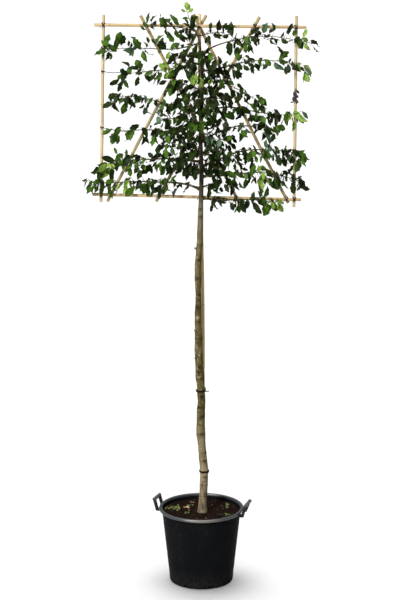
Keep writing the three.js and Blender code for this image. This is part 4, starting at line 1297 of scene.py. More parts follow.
@dataclass
class Boughs:
    """Trained shoots as bark, from the trunk to their tips."""

    sides: int = 14
    ring_length: float = 5.0
    collar: float = 0.75
    collar_length: float = 13.0
    sink: float = 7.0
    node_step: float = 37.0

    def build(self) -> Object:
        """Builds every shoot's bark as one piece."""
        bm = bmesh.new()
        scars = bm.verts.layers.float.new("scar")
        for shoot in SHOOTS:
            self._add(bm, shoot, scars)
        nodes = [f"bough_{shoot.name}" for shoot in SHOOTS if shoot.bare]
        return make_object("bough_bark", mesh_from(bm, 60), SHOOT_BARK, nodes)

    def _add(self, bm: BMesh, shoot: Shoot, scars: BMLayerItem) -> None:
        """Adds one shoot.

        Args:
            bm: Shape that receives it.
            shoot: The shoot.
            scars: Layer for the scar's darkness.
        """
        start = shoot.start() - self.sink
        span = shoot.reach - start

        def place(turn: float, along: float) -> Vector:
            """Point of the bark."""
            distance = start + span * along
            centre = shoot.point(distance)
            ahead = (shoot.point(distance + 1) - shoot.point(distance - 1)).normalized()
            across = UP.cross(ahead).normalized()
            over = ahead.cross(across)
            clear = distance - start - self.sink
            collar = 1 + self.collar * exp(-max(clear, 0) / self.collar_length)
            knob = bell(remainder(clear, self.node_step), 3.2)
            spot = Vector((cos(turn) * 1.2, sin(turn) * 1.2, distance / 14))
            rough = 1 + 0.12 * noise(spot) + 0.16 * knob
            reach = shoot.radius(distance) * collar * rough
            if along > 0.995:
                reach *= 0.5
            return centre + (over * cos(turn) + across * sin(turn)) * reach

        rings = max(6, round(span / self.ring_length))
        _, verts = add_limb(bm, self.sides, rings, place, span * MM)
        for vertex in verts:
            clear = abs(vertex.co.x) / MM - start - self.sink
            knob = bell(remainder(clear, self.node_step) + 3.4, 1.6)
            vertex[scars] = max(0.55 * knob, 0.6 * bell(clear, 4.0))


@dataclass
class Crown:
    """Side twigs and leaves that grow on from the shoots, the trunk and the leader.

    At every bud a twig turns away from its stem by the golden angle and carries one to three
    leaves. One that would touch a limb, a cane or a placed leaf is turned on and shortened, and
    left out when it never fits.
    """

    clearance: Clearance
    leaf: float = 71.0
    stalk: float = 10.0
    trials: int = 8
    fullness: float = 1.7
    bare_stem: float = 2765.0
    bare_half: float = 0.009
    front_reach: float = 745.0
    bud_leaves: tuple[int, ...] = (1, 2, 3, 3, 4)
    kept_tone: float = 0.8
    leaves: dict[Tone, JoinedMesh] = field(default_factory=lambda: {tone: JoinedMesh() for tone in Tone})
    twigs: JoinedMesh = field(default_factory=lambda: JoinedMesh("scar"))
    parts: list[SmallPart] = field(default_factory=lambda: [shape.part() for shape in LEAF_SHAPES])
    outlines: list[np.ndarray] = field(default_factory=lambda: [s.outline() for s in LEAF_SHAPES])
    placed: int = 0

    def try_leaf(self, foot: Vector, twig: Vector, way: Way, tone: Tone, draw: Random, size: float) -> bool:
        """Adds a leaf on its stalk if it fits.

        Args:
            foot: Where its stalk leaves the twig.
            twig: Direction of the twig there.
            way: How the leaf stands.
            tone: Its tint.
            draw: Seeded random numbers.
            size: Length of the blade in metres.

        Returns:
            Whether it was added.
        """
        lean = Vector((draw.uniform(-0.6, 0.6), draw.uniform(-0.7, 0.3), draw.uniform(-0.5, 0.6)))
        stalk = (twig * 0.8 + lean).normalized() * self.stalk * MM * draw.uniform(0.8, 1.4)
        neck = foot + stalk
        if way is Way.SPREAD:
            way = draw.choice((Way.HANGING, Way.RISING))
        lift = -0.95 if way is Way.HANGING else 0.9
        aim = Vector((draw.uniform(-0.8, 0.8), draw.uniform(-0.6, 0.4), lift))
        along = (twig * draw.uniform(0.1, 0.9) + aim).normalized()
        facing = Vector((draw.uniform(-1.3, 1.3), -0.8, draw.uniform(-0.3, 1.3)))
        if neck.y > 0.03:
            facing.y = 1.0
        matrix = leaf_at(neck, along, facing, size, draw.uniform(0.9, 1.08))
        kind = draw.randrange(len(self.parts))
        points = placed(self.outlines[kind], matrix)
        if np.abs(points[:, 0]).max() > self.front_reach * MM or not self.clearance.is_clear(points):
            return False
        if ((np.abs(points[:, 0]) < self.bare_half) & (points[:, 2] < self.bare_stem * MM)).any():
            return False
        self.clearance.take(points[2:])
        self.leaves[tone].add_copy(self.parts[kind], matrix)
        bend = foot + stalk * 0.55 + Vector((0, 0, 0.0012))
        path = [foot, bend, neck, neck + matrix.col[1].to_3d() * 0.35]
        self.twigs.add_tube(path, [0.0009, 0.0007, 0.0007, 0.0004], 4, 0.1)
        self.placed += 1
        return True

    def sprig(
        self, root: Vector, out: Vector, turn: float, length: float, count: int, way: Way, tone: Tone,
        draw: Random,
    ) -> int:
        """Adds a side twig and its leaves.

        Args:
            root: Where the twig leaves its stem, in metres.
            out: Direction of the stem.
            turn: Turn of the twig round the stem, in radians.
            length: Longest length of the twig in metres.
            count: Number of leaves wanted.
            way: How the leaves stand.
            tone: Their tint.
            draw: Seeded random numbers.

        Returns:
            The number of leaves that fitted.
        """
        over = Vector((-out.z, 0, out.x)).normalized()
        if over.z < 0:
            over.negate()
        for trial in range(self.trials):
            swing = turn + trial * 0.7
            shrink = 1 - 0.08 * trial
            aim = out * draw.uniform(0.3, 0.7) + over * sin(swing) * 0.8
            aim.y += cos(swing) * 0.9
            aim.normalize()
            reach = length * shrink * draw.uniform(0.4, 1.0)
            sag = Vector((0, 0, -0.16 if way is Way.HANGING else 0.1)) * reach
            path = [root, root + aim * reach * 0.35, root + aim * reach * 0.7 + sag * 0.35]
            path.append(root + aim * reach + sag)
            made = 0
            for k in range(count):
                foot = path[3].lerp(path[1], 0.3 * k)
                blade = self.leaf * MM * draw.uniform(0.6, 1.22) * shrink
                made += self.try_leaf(foot, aim, way, tone, draw, blade)
            if made:
                self.twigs.add_tube(path, [0.0019, 0.0015, 0.0013, 0.0008], 5)
                return made
        return 0

    def set_landmark(self, mark: Landmark, draw: Random) -> None:
        """Sets one of the leaves that stand out, on a twig from the nearest shoot.

        Args:
            mark: The leaf.
            draw: Seeded random numbers.
        """
        side = LEFT if mark.x < 0 else RIGHT
        near = [shoot for shoot in SHOOTS if shoot.side == side and shoot.reach > abs(mark.x) - 60]
        shoot = min(near, key=lambda each: abs(each.height(abs(mark.x)) - mark.height))
        root = shoot.point(min(max(abs(mark.x) - 14, shoot.start() + 4), shoot.reach - 3))
        turn = radians(mark.degrees)
        along = Vector((cos(turn), draw.uniform(-0.25, 0.05), sin(turn))).normalized()
        for trial in range(12):
            neck = Vector((mark.x, -26 - 5 * trial, mark.height)) * MM
            facing = Vector((draw.uniform(-0.9, 0.9), -1.0, draw.uniform(-0.2, 1.0)))
            matrix = leaf_at(neck, along, facing, mark.length * MM, draw.uniform(0.78, 0.95))
            kind = draw.choice((0, 1, 3, 5))
            points = placed(self.outlines[kind], matrix)
            if self.clearance.is_clear(points):
                self.clearance.take(points)
                self.leaves[mark.tone].add_copy(self.parts[kind], matrix)
                bend = root.lerp(neck, 0.5) + Vector((0, -0.006, 0.004))
                tip = neck + along * 0.004
                self.twigs.add_tube([root, bend, neck, tip], [0.002, 0.0015, 0.0011, 0.0007], 5)
                self.placed += 1
                return

    def grow_shoot(self, shoot: Shoot) -> None:
        """Grows a trained shoot's side twigs by its table."""
        draw = Random(shoot.name)
        turn = draw.uniform(0, TAU)
        tenth = shoot.reach / len(shoot.crowd)
        out = Vector((shoot.side, 0, 0))
        bare = max(shoot.start() + 0.35 * shoot.bare, 16)
        for k, (crowd, tone, way) in enumerate(zip(shoot.crowd, shoot.tones, shoot.ways)):
            wanted = round(int(crowd) * self.fullness)
            tries = 3 * wanted
            while wanted > 0 and tries > 0:
                tries -= 1
                count = min(wanted, draw.choice(self.bud_leaves))
                distance = min(max((k + draw.random()) * tenth, bare), shoot.reach - 4)
                kept = draw.random() < self.kept_tone
                tint = Tone(tone) if kept else draw.choice((Tone.DEEP, Tone.GREEN))
                length = shoot.twig * MM * (1 - 0.45 * distance / shoot.reach)
                root = shoot.point(distance)
                wanted -= self.sprig(root, out, turn, length, count, Way(way), tint, draw)
                turn += GOLDEN_ANGLE + draw.uniform(-0.3, 0.3)

    def grow_front(self, front: FrontSpray) -> None:
        """Grows a spray that comes forward from the trunk and fans out flat in front of it."""
        draw = Random(front.name)
        height = lerp(front.low, front.high, 0.42)
        centre = Trunk.centre(height)
        foot = centre - Vector((0, Trunk.radius(height) * 0.8, 0))
        fork = Vector((foot.x, front.PLANE * MM, foot.z + 0.006))
        girth = front.GIRTH * MM
        self.twigs.add_tube([foot, foot.lerp(fork, 0.6), fork], [girth * 1.3, girth, girth * 0.9], 8)
        for k in range(front.ARMS):
            angle = TAU * (k + 0.6 * draw.random()) / front.ARMS
            flare = cos(angle) ** 2
            reach = lerp((front.high - front.low) * 0.36, front.spread, flare) * MM
            out = Vector((cos(angle), 0, sin(angle)))
            path = []
            for i in range(7):
                share = i / 6
                point = fork + out * reach * share
                point.y -= front.DEPTH * MM * sin(share * pi / 2)
                point.z += 0.004 * sin(3.1 * share + k)
                path.append(point)
            radii = [lerp(girth * 0.7, 0.0013, i / 6) for i in range(7)]
            self.twigs.add_tube(path, radii, 6)
            turn = draw.uniform(0, TAU)
            wanted, tries = front.leaves, 3 * front.leaves
            while wanted > 0 and tries > 0:
                tries -= 1
                place = draw.uniform(0.15, 1.0) * 6
                low = min(int(place), 5)
                root = path[low].lerp(path[low + 1], place - low)
                tone = Tone(front.tones[k]) if draw.random() < 0.7 else Tone.DEEP
                wanted -= self.sprig(root, out, turn, 0.04, min(wanted, 2), Way.HANGING, tone, draw)
                turn += GOLDEN_ANGLE

    def grow_leader(self) -> None:
        """Grows the slender tip above the top cane, with its young leaves."""
        draw = Random("leader")
        top = TRUNK_STATIONS[-1][0]
        foot = Trunk.centre(top)
        crest = foot + Vector((-34, 0, 88)) * MM
        path = [foot.lerp(crest, i / 6) + Vector((0.003 * sin(i * 1.4), 0, 0)) for i in range(7)]
        path[0] = foot - Vector((0, 0, 0.006))
        self.twigs.add_tube(path, [0.0046, 0.0036, 0.003, 0.0026, 0.0022, 0.0018, 0.0013], 8)
        young = ((1.0, 95, 54), (1.0, 60, 44), (0.96, 165, 36), (0.9, 35, 40), (0.52, 172, 40), (0.5, 8, 56))
        for share, degrees, length in young:
            tone = Tone.YELLOW if share > 0.6 else Tone.GREEN
            turn = radians(degrees)
            along = Vector((cos(turn), draw.uniform(-0.3, 0.1), sin(turn))).normalized()
            neck = foot.lerp(crest, share) + along * 0.006
            facing = Vector((draw.uniform(-0.6, 0.6), -1.0, draw.uniform(0, 0.6)))
            matrix = leaf_at(neck, along, facing, length * MM)
            self.leaves[tone].add_copy(self.parts[draw.randrange(4)], matrix)
            self.twigs.add_tube([foot.lerp(crest, share), neck + along * 0.004], [0.0012, 0.0007], 4)
            self.placed += 1

    def build(self) -> list[Object]:
        """Grows the whole crown.

        Returns:
            One piece for each tint of leaf, and one for the twigs.
        """
        draw = Random("landmarks")
        for mark in LANDMARKS:
            self.set_landmark(mark, draw)
        for shoot in SHOOTS:
            self.grow_shoot(shoot)
        for front in FRONT_SPRAYS:
            self.grow_front(front)
        self.grow_leader()
        log.info("crown: %d leaves", self.placed)
        nodes = [f"foliage_{shoot.name}" for shoot in SHOOTS]
        nodes += [f"foliage_{front.name}" for front in FRONT_SPRAYS] + ["foliage_leader"]
        pieces = [make_object("twigs", self.twigs.mesh(), SHOOT_BARK, nodes)]
        for tone, gathered in self.leaves.items():
            finish = LEAF_TINTS[tone]
            name = finish.name.replace("leaf_", "leaves_")
            pieces.append(make_object(name, gathered.mesh(), finish, nodes))
        return pieces


@dataclass
class WitheredBundle:
    """Dead leaves hanging from one dry twig on the right upright."""

    across: float = 553.8
    low: float = 2972.0
    high: float = 3056.0
    count: int = 10
    leaf: float = 34.0

    def build(self) -> Object:
        """Builds the bundle as one piece."""
        draw = Random("withered")
        joined = JoinedMesh()
        parts = [shape.part() for shape in WITHERED_SHAPES]
        x, y = self.across, UPRIGHT_DEPTH - CANE_RADIUS - 2.6
        top, foot = Vector((x, y, self.high)) * MM, Vector((x - 3, y - 4, self.low + 10)) * MM
        path = [top.lerp(foot, i / 5) + Vector((0.002 * sin(i * 2), 0, 0)) for i in range(6)]
        joined.add_tube(path, [0.0024, 0.0022, 0.0022, 0.002, 0.0016, 0.001], 6)
        for k in range(self.count):
            root = top.lerp(foot, (k + 0.3) / self.count)
            angle = (k * GOLDEN_ANGLE) % pi
            aim = Vector((cos(angle) * 0.8, -0.5 * sin(angle) - 0.25, -0.35)).normalized()
            neck = root + aim * 0.008
            along = (aim + Vector((0, 0, -draw.uniform(0.5, 1.6)))).normalized()
            facing = Vector((draw.uniform(-1, 1), -1, draw.uniform(-0.4, 0.8)))
            matrix = leaf_at(neck, along, facing, self.leaf * MM * draw.uniform(0.75, 1.1))
            joined.add_copy(draw.choice(parts), matrix)
            joined.add_tube([root, neck, neck + along * 0.006], [0.001, 0.0008, 0.0006], 4)
        return make_object("withered_leaves", joined.mesh(), WITHERED_LEAF, ["foliage_withered"])


@dataclass(frozen=True)
class Cane:
    """One bamboo cane: its centre line, thickness and finish. Lengths are millimetres."""

    name: str
    start: Triple
    end: Triple
    finish: Bamboo
    radius: float = CANE_RADIUS
    depths: tuple[Pair, ...] = ()
    bow: float = 0.0

    def point(self, along: float) -> Vector:
        """Point of the centre line at a share of the length, in metres."""
        x, y, z = (lerp(a, b, along) for a, b in zip(self.start, self.end))
        x += self.bow * bell(z - 1690, 480)
        if self.depths:
            y = 0.0
            for zi, yi in self.depths:
                weight = 1.0
                for zj, _ in self.depths:
                    if zj != zi:
                        weight *= (z - zj) / (zi - zj)
                y += yi * weight
        return Vector((x, y, z)) * MM

    @property
    def length(self) -> float:
        """Straight length in millimetres."""
        return dist(self.start, self.end)

    def share_at(self, height: float) -> float:
        """Share of the length at which the cane reaches a height in millimetres."""
        return (height - self.start[2]) / (self.end[2] - self.start[2])


def slant(
    name: str, top: Pair, bottom: Pair,
    depths: tuple[Pair, ...], passes: Cane | None = None, side: int = 1,
) -> Cane:
    """Makes a slanting cane, bowed through the depths at which it is tied.

    Args:
        name: Its name.
        top: X and height of its upper end.
        bottom: X and height of its lower end.
        depths: Height and depth of each tie.
        passes: Another slanting cane that it passes, or None.
        side: 1 to pass behind that cane and -1 in front of it.

    Returns:
        The cane.
    """
    start, end = (top[0], 0.0, top[1]), (bottom[0], 0.0, bottom[1])
    if passes is not None:
        slope = (end[0] - start[0]) / (end[2] - start[2])
        other = (passes.end[0] - passes.start[0]) / (passes.end[2] - passes.start[2])
        offset, base = start[0] - slope * start[2], passes.start[0] - other * passes.start[2]
        height = (base - offset) / (slope - other)
        depth = passes.point(passes.share_at(height)).y / MM + side * (2 * CANE_RADIUS + 0.9)
        depths = (*depths, (height, depth))
    return Cane(name, start, end, OLIVE_CANE, CANE_RADIUS, depths)


CANE_TOP = Cane("cane_top", (-626, CROSS_DEPTH, 3432), (613, CROSS_DEPTH, 3418), TAN_CANE)
CANE_BOTTOM = Cane("cane_bottom", (-649, CROSS_DEPTH, 2423), (593, CROSS_DEPTH, 2390), TAN_CANE)
SIDE_LEFT = Cane("cane_side_left", (-599, UPRIGHT_DEPTH, 2373), (-572, UPRIGHT_DEPTH, 3488), CREAM_CANE)
SIDE_RIGHT = Cane("cane_side_right", (552, UPRIGHT_DEPTH, 2342), (555, UPRIGHT_DEPTH, 3482), CREAM_CANE)
CENTRE_CANE = Cane(
    "centre_cane", (17, CENTRE_DEPTH, 436.3), (-13, CENTRE_DEPTH, 3494), GOLD_CANE, CENTRE_CANE_RADIUS,
    bow=4.5,
)
SLANT_A = slant(
    "cane_slant_a", (-356, 3483), (238, 2342),
    ((3430, UPRIGHT_DEPTH), (2821, BEHIND_CENTRE), (2400, UPRIGHT_DEPTH)),
)
SLANT_D = slant(
    "cane_slant_d", (338, 3475), (-270, 2377),
    ((3425, UPRIGHT_DEPTH), (2821, BEHIND_SLANT), (2410, UPRIGHT_DEPTH)),
)
SLANT_B = slant(
    "cane_slant_b", (27, 3483), (-560, 2377), ((3419, BEHIND_CENTRE), (2420, UPRIGHT_DEPTH)), SLANT_A, 1
)
SLANT_C = slant(
    "cane_slant_c", (-46, 3485), (518, 2367), ((3419, BEHIND_SLANT), (2398, UPRIGHT_DEPTH)), SLANT_D, -1
)
CANES = (
    CANE_TOP, CANE_BOTTOM, SIDE_LEFT, SIDE_RIGHT, CENTRE_CANE, SLANT_A, SLANT_B, SLANT_C, SLANT_D,
)


@dataclass
class CaneFrame:
    """The bamboo frame: canes with joints and hollow cut ends."""

    sides: int = 24
    ring_length: float = 4.0
    joint_step: float = 185.0
    wall: float = 2.6

    def joints(self, cane: Cane) -> list[float]:
        """Distances of a cane's joints from its start, in millimetres."""
        draw = Random(cane.name)
        places, at = [], draw.uniform(40, 150)
        while at < cane.length - 20:
            places.append(at)
            at += self.joint_step * draw.uniform(0.8, 1.15)
        return places

    def build(self) -> list[Object]:
        """Builds every cane as its own piece."""
        return [self._build_cane(cane) for cane in CANES]

    def _build_cane(self, cane: Cane) -> Object:
        """Builds one cane with its joints and its hollow ends."""
        bm = bmesh.new()
        scars = bm.verts.layers.float.new("scar")
        joints = self.joints(cane)
        length = cane.length
        drift = Vector((len(cane.name) * 3.1, cane.start[0] / 100, 0))

        def nearest(distance: float) -> float:
            """Distance past the nearest joint."""
            return min((distance - joint for joint in joints), key=abs, default=1e3)

        def place(turn: float, along: float) -> Vector:
            """Point of the cane's side."""
            past = nearest(along * length)
            bulge = 0.55 * bell(past, 3.4) - 0.5 * bell(past + 4.6, 2.0)
            wander = 0.4 * noise(drift + Vector((0, 0, along * length / 160)))
            radius = (cane.radius + 0.35 + bulge + wander) * MM
            centre = cane.point(along)
            ahead = (cane.point(min(along + 0.004, 1)) - cane.point(max(along - 0.004, 0))).normalized()
            across = Vector((0, 1, 0)).cross(ahead).normalized()
            over = ahead.cross(across)
            bend = Vector((noise(drift + Vector((0, 9, along * length / 320))), 0, 0)) * 0.0012
            return centre + bend + (over * cos(turn) + across * sin(turn)) * radius

        caps, verts = add_limb(bm, self.sides, round(length / self.ring_length), place, length * MM)
        ahead = cane.point(1) - cane.point(0)
        for vertex in verts:
            along = (vertex.co - cane.point(0)).dot(ahead) / ahead.length_squared
            past = nearest(along * length)
            vertex[scars] = max(0.75 * bell(past + 4.6, 1.8), 0.4 * bell(past - 1.0, 1.6))
        for cap in caps:
            self._hollow(bm, cap, scars)
        return make_object(f"bamboo_{cane.name}", mesh_from(bm, 50), cane.finish, [cane.name])

    def _hollow(self, bm: BMesh, cap: BMFace, scars: BMLayerItem) -> None:
        """Turns a cut end into a rim round a bore, painted dark at its bottom as shade."""
        normal = cap.normal.copy()
        ops.inset_region(bm, faces=[cap], thickness=self.wall * MM)
        bore = ops.extrude_face_region(bm, geom=[cap])
        deep = [item for item in bore["geom"] if isinstance(item, BMVert)]
        ops.translate(bm, verts=deep, vec=-normal * 0.022)
        ops.delete(bm, geom=[cap], context="FACES_ONLY")
        # Painted shade: the bottom of the bore takes the full scar darkness.
        for vertex in deep:
            vertex[scars] = 1.0


@dataclass
class Ties:
    """Dark ties: wire at the crossings of the canes, and bands that hold the trunk."""

    wire: float = 1.7
    turns: float = 2.5
    crossings: tuple[tuple[Cane, Cane], ...] = (
        *((CANE_TOP, each) for each in (SIDE_LEFT, SLANT_A, CENTRE_CANE, SLANT_D, SIDE_RIGHT)),
        *((CANE_BOTTOM, each) for each in (SIDE_LEFT, SLANT_B, SLANT_D, CENTRE_CANE, SLANT_A, SLANT_C)),
        (CANE_BOTTOM, SIDE_RIGHT), (SLANT_A, SLANT_B), (SLANT_C, SLANT_D),
    )
    tied_shoots: tuple[str, ...] = (
        "left_6", "left_2", "left_1", "right_8", "right_7", "right_5", "right_3", "right_2",
    )
    strings: tuple[Triple, ...] = ((3157, -468, 3158), (2824, -424, 2806))
    band_radius: float = 3.0
    low_band: float = 699.0
    high_band: float = 1213.0

    def build(self) -> list[Object]:
        """Builds all ties: one piece of wire ties, and one band at each height."""
        joined = JoinedMesh("scar")
        draw = Random("ties")
        for one, other in self.crossings:
            self._bind(joined, one, other, draw)
        for name in self.tied_shoots:
            shoot = next(each for each in SHOOTS if each.name == name)
            self._tie_shoot(joined, shoot, SIDE_LEFT if shoot.side == LEFT else SIDE_RIGHT, draw)
        for height, reach, end in self.strings:
            post = SIDE_LEFT.point(SIDE_LEFT.share_at(height))
            target = Vector((reach, Shoot.FORWARD, end)) * MM
            path = [post + Vector((0, -0.0095, 0))]
            for i in range(1, 9):
                point = path[0].lerp(target, i / 8)
                point.z -= 0.005 * sin(pi * i / 8)
                path.append(point)
            joined.add_tube(path, [0.0021] * len(path), 6)
            self._wrap(joined, post, UP, Vector((1, 0, 0)), 0.0095, 0.0095, draw)
        pieces = [make_object("cane_ties", joined.mesh(), TIE_RUBBER, [])]
        pieces.append(self._band("trunk_band_low", "trunk_tie_low", self.low_band, False))
        pieces.append(self._band("trunk_band_high", "trunk_tie_high", self.high_band, True))
        return pieces

    def _wrap(
        self, joined: JoinedMesh, centre: Vector, along: Vector, across: Vector, half_width: float,
        half_depth: float, draw: Random,
    ) -> None:
        """Winds a tie round whatever lies at a place, and leaves a short end.

        Args:
            joined: Mesh that receives it.
            centre: Middle of the winding.
            along: Direction in which its turns lie beside each other.
            across: Direction across the turns, in the plane of the frame.
            half_width: Half its width across.
            half_depth: Half its depth along Y.
            draw: Seeded random numbers.
        """
        path = []
        steps = round(self.turns * 14)
        for i in range(steps + 1):
            angle = TAU * self.turns * i / steps + 0.6
            c, s = cos(angle), sin(angle)
            squash = (abs(c) ** 2.6 + abs(s) ** 2.6) ** (-1 / 2.6)
            shift = along * (i / steps - 0.5) * self.wire * MM * 2.2 * self.turns
            spot = centre + shift + across * c * squash * half_width
            spot.y += s * squash * half_depth
            path.append(spot)
        tail = Vector((draw.uniform(-1, 1), -0.6, draw.uniform(-1.2, -0.2))).normalized()
        for i in range(1, 4):
            path.append(path[-1] + tail * 0.005 + Vector((0, 0, -0.0008 * i)))
        joined.add_tube(path, [self.wire * MM] * len(path), 6)

    def _bind(self, joined: JoinedMesh, one: Cane, other: Cane, draw: Random) -> None:
        """Ties two canes where they come closest."""
        shares = np.linspace(0, 1, 161)
        line, mate = (np.array([c.point(s)[:] for s in shares]) for c in (one, other))
        gaps = np.linalg.norm(line[:, None] - mate[None], axis=2)
        i, j = np.unravel_index(int(gaps.argmin()), gaps.shape)
        a, b = Vector(line[i]), Vector(mate[j])
        first = (one.point(1) - one.point(0)).normalized()
        second = (other.point(1) - other.point(0)).normalized()
        half_depth = abs(a.y - b.y) / 2 + (one.radius + other.radius) / 2 * MM + 0.0018
        for sign in (1, -1):
            across = (first + second * sign).normalized()
            along = Vector((-across.z, 0, across.x)).normalized()
            self._wrap(joined, (a + b) / 2, along, across, 0.0135, half_depth, draw)

    def _tie_shoot(self, joined: JoinedMesh, shoot: Shoot, cane: Cane, draw: Random) -> None:
        """Ties a shoot to an upright with a loop round both."""
        distance = min(abs(cane.point(0.5).x) / MM, shoot.reach - 6)
        spot = shoot.point(distance)
        share = (spot.z - cane.point(0).z) / (cane.point(1).z - cane.point(0).z)
        post = cane.point(share)
        middle = (spot + post) / 2
        half_depth = abs(post.y - spot.y) / 2 + cane.radius * MM * 0.7
        middle.y += 0.002
        self._wrap(joined, middle, UP, Vector((1, 0, 0)), 0.0108, half_depth, draw)

    def _band(self, name: str, node: str, height: float, has_end: bool) -> Object:
        """Builds a soft band drawn tight round the trunk and the centre cane.

        Args:
            name: The piece's name.
            node: The node it stands for.
            height: Height of the band in millimetres.
            has_end: Whether a loose end sticks out to the right.

        Returns:
            The band.
        """
        joined = JoinedMesh("scar")
        front = Trunk.centre(height)
        back = CENTRE_CANE.point(CENTRE_CANE.share_at(height))
        near = Trunk.radius(height) + 0.0052
        far = CENTRE_CANE_RADIUS * MM + 0.0034
        facing = atan2(back.y - front.y, back.x - front.x)
        opening = acos((near - far) / (back - front).length)
        for level in (-1, 1):
            path = []
            for i in range(29):
                angle = facing + opening + (TAU - 2 * opening) * i / 28
                path.append(front + spoke(angle) * near)
            for i in range(13):
                angle = facing - opening + 2 * opening * i / 12
                path.append(back + spoke(angle) * far)
            path.append(path[0].copy())
            for k, point in enumerate(path):
                point.z = height * MM + level * 0.003 + 0.0008 * sin(k * 0.5)
            joined.add_tube(path, [self.band_radius * MM] * len(path), 8)
        if has_end:
            start = front + Vector((near * 0.72, -near * 0.72, 0.001))
            path = [start + Vector((0.0042 * i, 0.0006 * i, 0.001 * sin(i))) for i in range(8)]
            joined.add_tube(path, [0.0032] * 8, 6)
        return make_object(name, joined.mesh(), TIE_RUBBER, [node])


@dataclass
class Container:
    """The nursery container: a turned shell with drain slots at its foot, and its rolled rim."""

    steps: int = 144
    slot_columns: int = 3
    slot_low: float = 8.0
    slot_high: float = 20.0
    slots: int = 8
    first_slot: float = 16.2
    band_height: float = 34.0

    @staticmethod
    def wall_radius(height: float) -> float:
        """Outer radius of the tapered wall at a height, in millimetres."""
        share = (height - FOOT_CHAMFER) / (RIM_BASE - FOOT_CHAMFER)
        return lerp(FOOT_RADIUS, NECK_RADIUS, share)

    def shell_profile(self) -> list[Pair]:
        """Half section of the shell: radius and height of its corners, in millimetres."""
        band = self.band_height
        outer = [(0.0, 0.0), (FOOT_RADIUS - 60, 0.0), (FOOT_RADIUS - FOOT_CHAMFER, 0.0)]
        outer += [(FOOT_RADIUS - 3, 1.2), (FOOT_RADIUS - 0.8, 4.0), (FOOT_RADIUS, FOOT_CHAMFER)]
        outer += [(self.wall_radius(z), z) for z in (self.slot_low, self.slot_high, band - 1.2)]
        heights = (band, band + 1.6, 60, 110, 160, 210, 260, 310, 360, 400, 428)
        outer += [(self.wall_radius(z) - 0.9, z) for z in heights]
        outer += [(self.wall_radius(438) - 0.6, 438), (self.wall_radius(441) + 1.2, 441.5)]
        outer += [(self.wall_radius(445) + 1.4, 445), (self.wall_radius(448) - 0.4, 448)]
        outer += [(NECK_RADIUS, RIM_BASE), (NECK_RADIUS + 1, RIM_BASE + 4)]
        heights = [RIM_BASE + 4, 436, 400, 300, 200, 100, self.slot_high, self.slot_low]
        inner = [(self.wall_radius(z) - POT_WALL - 0.6, z) for z in heights]
        inner += [(self.wall_radius(POT_FLOOR) - POT_WALL - 1.5, POT_FLOOR), (100.0, POT_FLOOR)]
        return outer + inner + [(0.0, POT_FLOOR)]

    @staticmethod
    def rim_profile() -> list[Pair]:
        """Section of the rolled rim: radius and height of its corners, in millimetres."""
        rim = [(NECK_RADIUS - 3.8, RIM_BASE - 2), (NECK_RADIUS + 0.6, RIM_BASE), (252.0, RIM_BASE)]
        rim += [(256.5, 452.8), (259.2, 455.0), (RIM_RADIUS, 458.5), (RIM_RADIUS, 463.0)]
        rim += [(258.9, 466.6), (256.4, 469.0), (252.8, POT_HEIGHT), (247.6, POT_HEIGHT)]
        return rim + [(243.4, 468.8), (240.6, 466.0), (239.0, 461.0)]

    def _turn(self, profile: Sequence[Pair], begin: float, closed: bool) -> BMesh:
        """Turns a section about the container's axis.

        Args:
            profile: Radius and height of the section's corners, in millimetres.
            begin: Turn at which the first section stands, in radians.
            closed: Whether its last corner joins its first.

        Returns:
            The turned shape.
        """
        bm = bmesh.new()
        section = [(spoke(begin) * r + Vector((0, 0, z))) * MM for r, z in profile]
        turn_section(bm, section, closed, (0, 0, 0), (0, 0, 1), self.steps)
        close_up(bm)
        return bm

    def build(self) -> list[Object]:
        """Builds the shell with its slots, and the rim."""
        begin = radians(self.first_slot - 180 / self.steps * self.slot_columns)
        shell = self._turn(self.shell_profile(), begin, False)
        for k in range(self.slots):
            self._cut_slot(shell, begin + TAU * k / self.slots)
        ops.recalc_face_normals(shell, faces=shell.faces[:])
        rim = self._turn(self.rim_profile(), begin, True)
        return [
            make_object("pot_shell", mesh_from(shell, 42), POT_PLASTIC, ["pot"]),
            make_object("pot_rim", mesh_from(rim, 50), RIM_PLASTIC, ["pot"]),
        ]

    def _cut_slot(self, bm: BMesh, begin: float) -> None:
        """Cuts one drain slot through the wall.

        Args:
            bm: The shell.
            begin: Turn at which the slot begins, in radians.
        """
        width = TAU / self.steps * self.slot_columns
        inside, outside = [], []
        for face in bm.faces:
            spot = face.calc_center_median()
            if not self.slot_low < spot.z / MM < self.slot_high:
                continue
            past = (atan2(spot.y, spot.x) - begin) % TAU
            if past < width:
                reach = hypot(spot.x, spot.y) / MM
                group = outside if reach > self.wall_radius(spot.z / MM) - POT_WALL / 2 - 0.6 else inside
                group.append(face)
        rims = []
        for group in (inside, outside):
            members = set(group)
            rims += [e for f in group for e in f.edges if any(n not in members for n in e.link_faces)]
        rims = list(set(rims))
        ops.delete(bm, geom=inside + outside, context="FACES")
        ops.bridge_loops(bm, edges=[edge for edge in rims if edge.is_valid])


